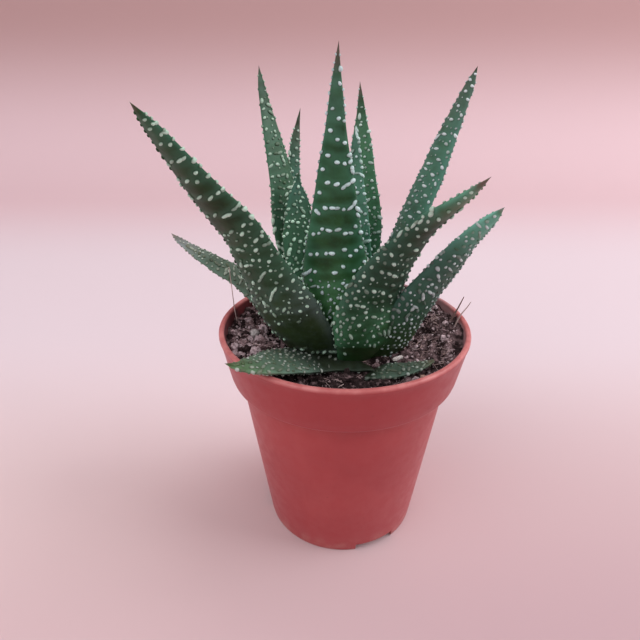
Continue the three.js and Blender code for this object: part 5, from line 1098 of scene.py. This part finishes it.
pot_verts, pot_faces = lathe(pot_profile(), POT_SEGMENTS)
pot = make_object("pot_moulding", pot_verts, pot_faces)
tools = [box_tool((POT_FOOT_RADIUS - 0.6, 0, 0), (3, FOOT_NOTCH_WIDTH / 2, FOOT_NOTCH_HEIGHT), a) for a in FOOT_NOTCH_AZIMUTHS]
for i in range(DRAIN_HOLES):
    a = math.radians(360 * i / DRAIN_HOLES + 15)
    tools.append(rod_tool(DRAIN_CIRCLE_RADIUS * math.cos(a), DRAIN_CIRCLE_RADIUS * math.sin(a), DRAIN_HOLE_RADIUS, BASE_RAISE - 2, BASE_RAISE + 3))
cut(pot, tools)
pot.data.polygons.foreach_set("use_smooth", np.ones(len(pot.data.polygons), bool))
pot.data.set_sharp_from_angle(angle=math.radians(32))


def pot_material():
    m = Nodes("pot_plastic")
    z = m.height_z()
    cloud = m.noise(60, 4, 0.6)
    streak = m.noise(220, 3, 0.6, 0.0, (1, 1, 0.12))
    grain = m.noise(2600, 3, 0.6)
    speck = m.cells(520)
    red = m.mix(m.ramp(cloud, 0.3, 0.7), srgb(161, 52, 54), srgb(170, 59, 60))
    red = m.mix(m.maths("MULTIPLY", m.ramp(streak, 0.45, 0.75), 0.22), red, srgb(180, 80, 78))
    # a little deeper in colour on the collar and towards the foot
    deep = m.maths("ADD", m.ramp(z, 0.0385, 0.0415, 0.0, 0.6), m.ramp(z, 0.018, 0.006, 0.0, 0.45))
    red = m.mix(deep, red, srgb(157, 43, 47))
    # a painted highlight along the lip, and a little dust just above the foot
    lip_highlight = m.maths("MULTIPLY", m.ramp(z, 0.0504, 0.0512), m.ramp(m.noise(380, 3), 0.3, 0.7, 0.5, 1.0))
    red = m.mix(m.maths("MULTIPLY", lip_highlight, 0.7), red, srgb(222, 146, 142))
    dust = m.maths("MULTIPLY", m.ramp(z, 0.006, 0.0), m.ramp(m.noise(300, 4), 0.35, 0.75))
    red = m.mix(m.maths("MULTIPLY", dust, 0.35), red, srgb(196, 150, 140))
    # the inside of the collar: darker at the left and paler at the right, dusted with peat at the right
    split = m.tree.nodes.new("ShaderNodeSeparateXYZ")
    m.link(m.coords, split.inputs[0])
    dx, dy = m.maths("SUBTRACT", split.outputs["X"], float(AXIS[0])), m.maths("SUBTRACT", split.outputs["Y"], float(AXIS[1]))
    out = m.maths("SQRT", m.maths("ADD", m.maths("MULTIPLY", dx, dx), m.maths("MULTIPLY", dy, dy)))
    inside = m.maths("MULTIPLY", m.ramp(m.maths("SUBTRACT", out, m.maths("MULTIPLY", z, 0.195)), 0.01716, 0.01690), m.maths("MULTIPLY", m.ramp(z, 0.0511, 0.0504), m.ramp(z, 0.0435, 0.0445)))
    patchy = m.ramp(m.noise(260, 4, 0.6), 0.3, 0.66, 0.55, 1.0)
    inner_wall_tone = m.mix(m.ramp(dx, -0.008, 0.012), srgb(50, 20, 25), srgb(206, 170, 174))
    red = m.mix(m.maths("MULTIPLY", m.maths("MULTIPLY", inside, patchy), 0.9), red, inner_wall_tone)
    far = m.maths("MULTIPLY", m.ramp(dx, 0.004, 0.015), m.ramp(dy, 0.002, 0.013))
    peat = m.maths("MULTIPLY", m.maths("MULTIPLY", far, m.ramp(z, 0.0496, 0.0506)), m.ramp(m.noise(330, 4, 0.65), 0.32, 0.6, 0.45, 0.95))
    red = m.mix(peat, red, srgb(176, 140, 144))
    spots = m.maths("MULTIPLY", m.ramp(speck, 0.16, 0.06), m.ramp(m.noise(90, 2), 0.5, 0.66))
    red = m.mix(m.maths("MULTIPLY", spots, 0.35), red, srgb(120, 40, 40))
    m.put(m.bsdf.inputs["Base Color"], red)
    m.put(m.bsdf.inputs["Roughness"], m.ramp(m.noise(420, 3), 0.3, 0.7, 0.4, 0.52))
    m.bsdf.inputs["Specular IOR Level"].default_value = 0.5
    m.bsdf.inputs["Sheen Weight"].default_value = 0.16
    m.bsdf.inputs["Sheen Roughness"].default_value = 0.45
    m.bsdf.inputs["Sheen Tint"].default_value = (1.0, 0.72, 0.78, 1.0)
    b = m.bump(streak, 0.12, 0.0002)
    m.put(m.bsdf.inputs["Normal"], m.bump(grain, 0.16, 0.00005, b))
    return m.material


pot.data.materials.append(pot_material())
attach(pot, "root")
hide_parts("pot")


# ------------------------------------------------------------------ potting mix
rng = np.random.RandomState(42)
HOLLOW, HOLLOW_DEPTH, HOLLOW_REACH = ((6.0, -12.2), (14.5, -13.2)), 1.2, 3.6


def lumps(x, y):
    return (np.sin(x * 0.92 + 1.3) * np.cos(y * 0.81 - 0.4) * 0.5
            + np.sin(x * 1.93 - y * 1.27 + 2.1) * 0.3 + np.cos(x * 0.37 + y * 2.31 + 0.7) * 0.25)


NOISE_GRIDS = {k: np.random.RandomState(k).uniform(-1, 1, (128, 128)) for k in (1, 2, 3, 7, 8)}


def value_noise(x, y, cell, seed):
    """Smooth repeatable noise between -1 and 1 on a grid of the given cell."""
    g = NOISE_GRIDS[seed]
    u, v = x / cell + 57.3, y / cell + 41.7
    i, j = np.floor(u).astype(int), np.floor(v).astype(int)
    fu, fv = u - i, v - j
    fu, fv = fu * fu * (3 - 2 * fu), fv * fv * (3 - 2 * fv)
    p = lambda a, b: g[(i + a) % 128, (j + b) % 128]
    return (p(0, 0) * (1 - fu) + p(1, 0) * fu) * (1 - fv) + (p(0, 1) * (1 - fu) + p(1, 1) * fu) * fv


def smooth(a, b, v):
    t = np.clip((v - a) / (b - a), 0, 1)
    return t * t * (3 - 2 * t)


def edge_rise(x, y):
    """The mix is banked up against the wall, least at the front and most at the right."""
    r = np.maximum(np.hypot(x, y), 1e-6)
    side = smooth(-0.85, -0.15, y / r)
    return (MIX_EDGE_RISE * smooth(11, 22, r) * (0.45 + 0.55 * side) + MIX_WALL_RISE * smooth(15, 25, r) * side
            + MIX_RIGHT_RISE * smooth(17, 25, r) * smooth(6, 18, x) * smooth(-12, -2, y))


def leaf_hollow(x, y):
    """The mix lies lower round the small leaf that rests on it at the front right."""
    (ax, ay), (bx, by) = HOLLOW
    t = np.clip(((x - ax) * (bx - ax) + (y - ay) * (by - ay)) / ((bx - ax) ** 2 + (by - ay) ** 2), 0, 1)
    d = np.hypot(x - ax - t * (bx - ax), y - ay - t * (by - ay))
    return HOLLOW_DEPTH * np.exp(-(d / HOLLOW_REACH) ** 2)


def mix_height(x, y):
    h = MIX_TOP_Z + MIX_LUMP_HEIGHT * 0.8 * lumps(x, y) + edge_rise(x, y) - leaf_hollow(x, y)
    return (h + 0.42 * value_noise(x, y, 1.7, 1) + 0.30 * value_noise(x, y, 0.85, 2) + 0.20 * value_noise(x, y, 0.42, 3))


def mix_top(x, y):
    """Height of the mix at a point."""
    return float(mix_height(np.array([x]), np.array([y]))[0])


ICO0 = bmesh.new()
bmesh.ops.create_icosphere(ICO0, subdivisions=1, radius=1)
ICO1 = bmesh.new()
bmesh.ops.create_icosphere(ICO1, subdivisions=2, radius=1)
ICO3 = bmesh.new()
bmesh.ops.create_icosphere(ICO3, subdivisions=4, radius=1)
SPHERES = [(np.array([v.co[:] for v in b.verts]), [tuple(v.index for v in f.verts) for f in b.faces]) for b in (ICO0, ICO1, ICO3)]
for b in (ICO0, ICO1, ICO3):
    b.free()


def random_turns(r, n):
    q = r.normal(size=(n, 4))
    w, x, y, z = (q / np.linalg.norm(q, axis=1)[:, None]).T
    return np.array([[1 - 2 * (y * y + z * z), 2 * (x * y - z * w), 2 * (x * z + y * w)],
                     [2 * (x * y + z * w), 1 - 2 * (x * x + z * z), 2 * (y * z - x * w)],
                     [2 * (x * z - y * w), 2 * (y * z + x * w), 1 - 2 * (x * x + y * y)]]).transpose(2, 0, 1)


def off_leaf(x, y, z, size):
    """False where a crumb would lie on one of the low front leaves or on the chip."""
    keep = np.hypot(x - BITS["bark_chip"][0][0], y - BITS["bark_chip"][0][1]) > 1.7
    for leaf in ("leaf_front_low_left", "leaf_front_low_right"):
        st = np.array(LEAVES[leaf][5], float)
        t = np.linspace(0, 1, len(st))
        fine = np.linspace(0, 1, 60)
        sx, sy, sz, sw = (np.interp(fine, t, st[:, k]) for k in range(4))
        d = np.hypot(x[:, None] - sx, y[:, None] - sy)
        k = d.argmin(1)
        keep &= (d[np.arange(len(x)), k] > sw[k] * 0.5 + size * 0.3) | (z + size < sz[k] - 0.3) | (fine[k] > 0.84)
    return keep


def crumbs(parts, at, size, tone):
    """Angular crumbs: fine shells for the large ones, coarse for the small."""
    good = off_leaf(at[:, 0], at[:, 1], at[:, 2], size)
    at, size, tone = at[good], size[good], tone[good]
    # crumbs at the front, behind the rim and beneath the low leaves, are made darker: painted shade
    front = smooth(-11, -17, at[:, 1]) * smooth(16, 9, np.abs(at[:, 0] - 1))
    tone = np.clip(tone - 0.3 * front, 0, 1)
    for fine in (False, True):
        some = (size > 0.42) == fine
        v, f = SPHERES[1 if fine else 0]
        n = int(some.sum())
        if not n:
            continue
        d = v[None] * (1 + rng.uniform(-0.42, 0.42, (n, len(v))))[:, :, None] * (size[some, None, None] * rng.uniform(0.42, 1.35, (n, 1, 3)))
        d = np.einsum("nvi,nji->nvj", d, random_turns(rng, n)) + at[some, None]
        parts.add_many(d, f, tone=tone[some, None], fibre=0.0)


def fibre(parts, points, r, tone, sides=6, steps=10):
    """A thin closed strand through the points."""
    p = np.array(points, float)
    t = np.linspace(0, 1, len(p))
    curve = Spline(t, p)
    c = curve(np.linspace(0, 1, steps + 1))
    d = curve.slope(np.linspace(0, 1, steps + 1))
    d /= np.linalg.norm(d, axis=1)[:, None]
    up = np.array([0.3, 0.2, 0.93])
    a = np.cross(d, up)
    a /= np.linalg.norm(a, axis=1)[:, None]
    b = np.cross(d, a)
    ang = np.linspace(0, 2 * math.pi, sides, endpoint=False)
    rr = r * (1 - 0.55 * np.linspace(0, 1, steps + 1) ** 2)
    rings = c[:, None] + rr[:, None, None] * (np.cos(ang)[None, :, None] * a[:, None] + np.sin(ang)[None, :, None] * b[:, None])
    v = np.concatenate([c[:1] - d[:1] * r * 0.5, rings.reshape(-1, 3), c[-1:] + d[-1:] * r * 0.5])
    f = [(0, 1 + j, 1 + (j + 1) % sides) for j in range(sides)]
    for i in range(steps):
        x, y = 1 + i * sides, 1 + (i + 1) * sides
        f += [(x + j, y + j, y + (j + 1) % sides, x + (j + 1) % sides) for j in range(sides)]
    x, e = 1 + steps * sides, 1 + (steps + 1) * sides
    f += [(x + j, e, x + (j + 1) % sides) for j in range(sides)]
    parts.add(v, face_out(v - v.mean(0), f), tone=tone, fibre=1.0)


# Two stiff twigs that lean over the rim at the right
TWIGS = (
    [(24.0, 2.8, 48.4), (25.1, 3.0, 51.2), (25.95, 3.0, 53.3), (26.9, 3.0, 55.9)],
    [(24.5, 0.2, 48.6), (26.0, 1.2, 51.9), (27.3, 2.0, 53.3), (28.5, 2.5, 54.9)],
)


def build_mix():
    parts = Parts("tone", "fibre")
    seg, rings = 220, 80
    th = np.linspace(0, 2 * math.pi, seg, endpoint=False)
    wall = pot_inside(MIX_TOP_Z) - 0.12
    radii = wall * (np.arange(1, rings + 1) / rings) ** 0.8
    x, y = radii[:, None] * np.cos(th), radii[:, None] * np.sin(th)
    z = mix_height(x, y)
    # the wall leans out, and the banked mix follows it
    spread = 1 + ((pot_inside(46.0) + 0.195 * (z - 46.0) - 0.12) / wall - 1) * (radii[:, None] / wall) ** 8
    x, y = x * spread, y * spread
    verts = [np.array([[0, 0, mix_top(0, 0)]]), np.stack([x, y, z], -1).reshape(-1, 3)]
    floor_top = BASE_RAISE + BASE_THICKNESS
    rims = [(pot_inside(44.0) - 0.12, 44.0), (pot_inside(41.3) - 0.15, 41.3), (pot_inside(37.1) - 0.32, 37.1),
            (pot_inside(20.0) - 0.32, 20.0), (pot_inside(5.2) - 0.32, 5.2), (pot_inside(4.4) - 1.3, floor_top + 0.3), (9.0, floor_top + 0.3)]
    for r, h in rims:
        verts.append(np.stack([r * np.cos(th), r * np.sin(th), np.full(seg, h)], -1))
    verts.append(np.array([[0, 0, floor_top + 0.3]]))
    n = rings + len(rims)
    faces = [(0, 1 + j, 1 + (j + 1) % seg) for j in range(seg)]
    for i in range(n - 1):
        a, b = 1 + i * seg, 1 + (i + 1) * seg
        faces += [(a + j, b + j, b + (j + 1) % seg, a + (j + 1) % seg) for j in range(seg)]
    a, e = 1 + (n - 1) * seg, 1 + n * seg
    faces += [(a + j, e, a + (j + 1) % seg) for j in range(seg)]
    v = np.concatenate(verts)
    tone = np.clip(0.18 + 0.10 * smooth(4, 14, v[:, 0]) + 0.08 * smooth(-6, -14, v[:, 0]) + 0.16 * value_noise(v[:, 0], v[:, 1], 0.9, 7) + 0.12 * value_noise(v[:, 0], v[:, 1], 0.45, 8), 0, 1)
    parts.add(v, face_out(v - v.mean(0), faces), tone=tone, fibre=0.0)
    # crumbs of peat: many small dark ones, fewer and paler large ones, and coarser clods at the left
    n = 5000
    r, a = (wall - 0.4) * np.sqrt(rng.uniform(0.02, 1, n)), rng.uniform(0, 2 * math.pi, n)
    left = smooth(-6, -16, r * np.cos(a))
    size = np.minimum((0.125 + 0.065 * left) / np.sqrt(np.maximum(rng.uniform(0, 1, n), 0.02)), 0.6 + 0.3 * left)
    r = np.minimum(r, wall + 0.1 - size)
    px, py = r * np.cos(a), r * np.sin(a)
    t, u = rng.uniform(0, 1, n), rng.uniform(0, 1, n)
    right = smooth(4, 14, px)
    dark, pale = 0.34 - 0.14 * right, 0.78 - 0.10 * left - 0.20 * right
    tone = np.where(t < dark, 0.25 * u, np.where(t < pale, 0.3 + 0.35 * u, 0.65 + 0.35 * u))
    crumbs(parts, np.stack([px, py, mix_height(px, py) + size * rng.uniform(-0.1, 0.45, n)], 1), size, tone)
    n = 84
    a, r = rng.uniform(2.0, 4.0, n), (wall - 1.2) * np.sqrt(rng.uniform(0.25, 1, n))
    px, py, size = r * np.cos(a), r * np.sin(a), rng.uniform(0.36, 0.8, n)
    crumbs(parts, np.stack([px, py, mix_height(px, py) + size * 0.2], 1), size, rng.uniform(0.25, 0.8, n))
    # loose fibres, most of them at the right
    for k in range(700):
        r, a = (wall - 1.8) * math.sqrt(rng.uniform(0.1, 1)), rng.uniform(0, 2 * math.pi)
        px, py = r * math.cos(a), r * math.sin(a)
        if (-7 < px < 4 or py < -14) and rng.rand() < 0.65:
            continue
        d, long = rng.uniform(0, 2 * math.pi), rng.uniform(0.7, 1.9)
        lean, pts = rng.uniform(-0.35, 0.35), []
        for s in (-0.5, -0.15, 0.2, 0.5):
            qx, qy = px + s * long * math.cos(d) + rng.uniform(-0.05, 0.05), py + s * long * math.sin(d) + rng.uniform(-0.05, 0.05)
            over = math.hypot(qx, qy) / (wall - 0.5)
            if over > 1:
                qx, qy = qx / over, qy / over
            pts.append([qx, qy, mix_top(qx, qy)])
        high = max(p[2] for p in pts) + 0.15
        pts = [(p[0], p[1], 0.3 * p[2] + 0.7 * high + lean * (k - 1.5) * 0.3 * long) for k, p in enumerate(pts)]
        at = np.array(pts[1:3]).mean(0)[None]
        if off_leaf(at[:, 0], at[:, 1], at[:, 2], np.array([0.5]))[0]:
            fibre(parts, pts, rng.uniform(0.045, 0.085), rng.uniform(0.25, 1.0), 4, 3)
    # strands that stand up at the rim
    fibre(parts, [(-24.2, 5.5, 46.2), (-24.7, 4.8, 50.0), (-24.95, 4.3, 54.0), (-25.1, 4.15, 58.4), (-25.3, 4.0, 62.8)], 0.13, 0.85, 6, 16)
    fibre(parts, TWIGS[0], 0.24, 0.15, 6, 10)
    fibre(parts, TWIGS[1], 0.17, 0.6, 6, 10)
    fibre(parts, [(24.2, 2.5, 46.3), (25.3, 2.2, 48.9), (25.6, 1.6, 50.9)], 0.12, 0.6, 6, 8)
    return parts.build("potting_mix_crumbs", smooth=False)


mix = build_mix()


def mix_material():
    m = Nodes("potting_mix")
    tone, strand = m.attribute("tone"), m.attribute("fibre")
    fine, coarse = m.noise(2300, 4, 0.7), m.noise(700, 3, 0.6)
    t = m.maths("ADD", tone, m.maths("MULTIPLY", m.maths("SUBTRACT", coarse, 0.5), 0.35))
    dark = m.mix(m.ramp(fine, 0.3, 0.7), srgb(22, 14, 15), srgb(58, 43, 43))
    middle = m.mix(m.ramp(fine, 0.3, 0.7), srgb(92, 73, 74), srgb(150, 127, 129))
    pale = m.mix(m.ramp(fine, 0.3, 0.7), srgb(154, 132, 136), srgb(222, 204, 208))
    c = m.mix(m.ramp(t, 0.18, 0.42), dark, middle)
    c = m.mix(m.ramp(t, 0.55, 0.85), c, pale)
    c = m.mix(strand, c, m.mix(tone, srgb(112, 86, 80), srgb(206, 182, 178)))
    m.put(m.bsdf.inputs["Base Color"], c)
    m.put(m.bsdf.inputs["Roughness"], m.ramp(fine, 0.2, 0.8, 0.82, 0.98))
    m.bsdf.inputs["Specular IOR Level"].default_value = 0.2
    b = m.bump(coarse, 0.5, 0.0004)
    m.put(m.bsdf.inputs["Normal"], m.bump(fine, 0.6, 0.00015, b))
    return m.material


mix.data.materials.append(mix_material())
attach(mix, "root")
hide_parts("potting_mix")


# ------------------------------------------------------------------ loose bits
def bit_material(name, dark, light, streaky):
    m = Nodes(name)
    fine = m.noise(1900, 4, 0.65)
    lines = m.noise(1300, 3, 0.6, 0.2, (1, 4, 1) if streaky else None)
    c = m.mix(m.ramp(lines, 0.35, 0.68), srgb(*dark), srgb(*light))
    c = m.mix(m.maths("MULTIPLY", m.ramp(fine, 0.5, 0.75), 0.5), c, srgb(*(max(v - 50, 0) for v in dark)))
    m.put(m.bsdf.inputs["Base Color"], c)
    m.put(m.bsdf.inputs["Roughness"], m.ramp(fine, 0.3, 0.7, 0.75, 0.95))
    m.put(m.bsdf.inputs["Normal"], m.bump(fine, 0.6, 0.00015, m.bump(lines, 0.5, 0.0002)))
    return m.material


BIT_LOOKS = {
    "bark_chip": ("light_bark", (206, 196, 190), (250, 246, 244), True),
    "grey_clod": ("grey_peat", (128, 120, 120), (188, 182, 180), False),
    "tan_chip": ("tan_bark", (142, 108, 96), (188, 154, 142), True),
}
for bit_name, (at, half, turn, seed) in BITS.items():
    v, f = SPHERES[2]
    r = np.random.RandomState(seed)
    ph = r.uniform(0, 6, 6)
    chip = BIT_LOOKS[bit_name][3]
    # a chip is a split slab, a clod is a lump of grains
    if chip:
        p = 5.0
        v = v / (np.abs(v) ** p).sum(1)[:, None] ** (1 / p) * (1 - 0.22 * np.abs(v[:, :1]) ** 3)
    k = 1 + 0.07 * np.sin(v[:, 0] * 6 + ph[0]) * np.cos(v[:, 1] * 5 + ph[1]) + 0.05 * np.sin(v[:, 2] * 9 + v[:, 0] * 7 + ph[2])
    k += (0.03 if chip else 0.07) * np.sin(v[:, 0] * 17 + ph[3]) * np.sin(v[:, 1] * 19 + ph[4]) * np.sin(v[:, 2] * 16 + ph[5])
    v = v * k[:, None] * np.array(half) * (0.86 if chip else 1.0)
    c, s = math.cos(math.radians(turn)), math.sin(math.radians(turn))
    v = np.stack([v[:, 0] * c - v[:, 1] * s, v[:, 0] * s + v[:, 1] * c, v[:, 2]], 1) + np.array(at)
    bit = make_object(bit_name + "_piece", v, face_out(v - v.mean(0), f))
    bit.data.materials.append(bit_material(bit_name, *BIT_LOOKS[bit_name][1:]))
    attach(bit, "root")
    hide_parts(bit_name)


# ------------------------------------------------------------------ stem and roots, carried over
def stem_material():
    m = Nodes("stem_and_roots")
    fine, rings = m.noise(900, 4, 0.6), m.noise(500, 3, 0.6, 0.0, (1, 1, 4))
    c = m.mix(m.ramp(rings, 0.35, 0.7), srgb(150, 128, 92), srgb(196, 178, 142))
    c = m.mix(m.maths("MULTIPLY", m.ramp(fine, 0.5, 0.8), 0.6), c, srgb(84, 62, 48))
    m.put(m.bsdf.inputs["Base Color"], c)
    m.put(m.bsdf.inputs["Roughness"], m.ramp(fine, 0.3, 0.7, 0.7, 0.9))
    m.put(m.bsdf.inputs["Normal"], m.bump(fine, 0.5, 0.0003))
    return m.material


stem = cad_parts["stem_and_roots"]
stem.data.materials.clear()
stem.data.materials.append(stem_material())


# ------------------------------------------------------------------ floor, backdrop and light
def sweep():
    """A pale sheet that curves up behind the object, with painted shadow and painted light on its floor and painted
    shade up its wall.
    """
    rows = [(-1.4 + 1.75 * t, 0.0) for t in np.linspace(0, 1, 12)]
    rows += [(0.35 + 0.30 * math.sin(a), 0.30 * (1 - math.cos(a))) for a in np.linspace(0, math.pi / 2, 24)[1:]]
    rows += [(0.65, z) for z in np.linspace(0.30, 1.6, 10)[1:]]
    cols = np.linspace(-2.2, 2.2, 30)
    verts = [(x, y, z) for y, z in rows for x in cols]
    n = len(cols)
    faces = [(i * n + j, i * n + j + 1, (i + 1) * n + j + 1, (i + 1) * n + j) for i in range(len(rows) - 1) for j in range(n - 1)]
    mesh = bpy.data.meshes.new("sweep")
    mesh.from_pydata(verts, [], faces)
    mesh.polygons.foreach_set("use_smooth", np.ones(len(faces), bool))
    obj = bpy.data.objects.new("sweep", mesh)
    bpy.context.scene.collection.objects.link(obj)
    m = Nodes("sweep")
    split = m.tree.nodes.new("ShaderNodeSeparateXYZ")
    m.link(m.coords, split.inputs[0])
    y, z = split.outputs["Y"], split.outputs["Z"]
    c = m.mix(m.ramp(m.noise(6, 3), 0.3, 0.7), srgb(228, 206, 207), srgb(231, 210, 210))
    # painted shadow in front of the object
    c = m.mix(m.ramp(y, 0.0, -0.05), c, srgb(216, 190, 193))
    # painted light on the floor just behind the object, and painted shade further back
    c = m.mix(m.ramp(y, -0.02, 0.10), c, srgb(226, 214, 220))
    c = m.mix(m.ramp(y, 0.17, 0.34), c, srgb(221, 195, 200))
    # painted shadow to the right of and in front of the object
    c = m.mix(m.maths("MULTIPLY", m.ramp(split.outputs["X"], -0.045, 0.04), m.ramp(y, 0.08, -0.06)), c, srgb(197, 170, 175))
    # painted shade darkening the sheet up the wall
    c = m.mix(m.ramp(z, 0.01, 0.16), c, srgb(181, 147, 146))
    m.put(m.bsdf.inputs["Base Color"], c)
    m.bsdf.inputs["Roughness"].default_value = 0.9
    m.bsdf.inputs["Specular IOR Level"].default_value = 0.1
    mesh.materials.append(m.material)
    return obj


sweep()


def area_light(name, at, towards, size, energy, colour):
    data = bpy.data.lights.new(name, "AREA")
    data.shape, data.size, data.energy, data.color = "DISK", size, energy, colour
    obj = bpy.data.objects.new(name, data)
    obj.location = at
    obj.rotation_euler = (Vector(towards) - Vector(at)).to_track_quat("-Z", "Y").to_euler()
    bpy.context.scene.collection.objects.link(obj)
    return obj


centre = Vector(place((0, 0, 55)).tolist())
area_light("key", centre + Vector((0.62, 0.72, 1.2)), centre, 1.6, 16.4, (1.0, 0.985, 0.99))
area_light("side", centre + Vector((1.25, -0.10, 0.75)), centre, 1.0, 10.8, (1.0, 0.97, 0.985))
area_light("fill", centre + Vector((-0.85, -0.75, 0.90)), centre, 1.5, 8.0, (1.0, 0.97, 0.98))
world = bpy.data.worlds.new("studio")
world.use_nodes = True
world.node_tree.nodes["Background"].inputs[0].default_value = (0.92, 0.86, 0.90, 1)
world.node_tree.nodes["Background"].inputs[1].default_value = 0.55
bpy.context.scene.world = world
bpy.context.scene.view_settings.view_transform = "Standard"
bpy.context.scene.view_settings.look = "None"

# ------------------------------------------------------------------ camera
c, s = math.cos(VIEW_DOWN), math.sin(VIEW_DOWN)
forward, right0, up0 = np.array([0, c, -s]), np.array([1.0, 0, 0]), np.array([0, s, c])
cr, sr = math.cos(VIEW_ROLL), math.sin(VIEW_ROLL)
right, up = cr * right0 - sr * up0, sr * right0 + cr * up0
cam_data = bpy.data.cameras.new("view")
cam_data.lens, cam_data.sensor_width, cam_data.sensor_fit = VIEW_LENS, VIEW_SENSOR, "HORIZONTAL"
cam_data.clip_start, cam_data.clip_end = 0.005, 20
camera = bpy.data.objects.new("view", cam_data)
eye = place(VIEWPOINT)
camera.matrix_world = Matrix([[right[0], up[0], -forward[0], eye[0]], [right[1], up[1], -forward[1], eye[1]],
                              [right[2], up[2], -forward[2], eye[2]], [0, 0, 0, 1]])
bpy.context.scene.collection.objects.link(camera)
bpy.context.scene.camera = camera

bpy.context.view_layer.update()
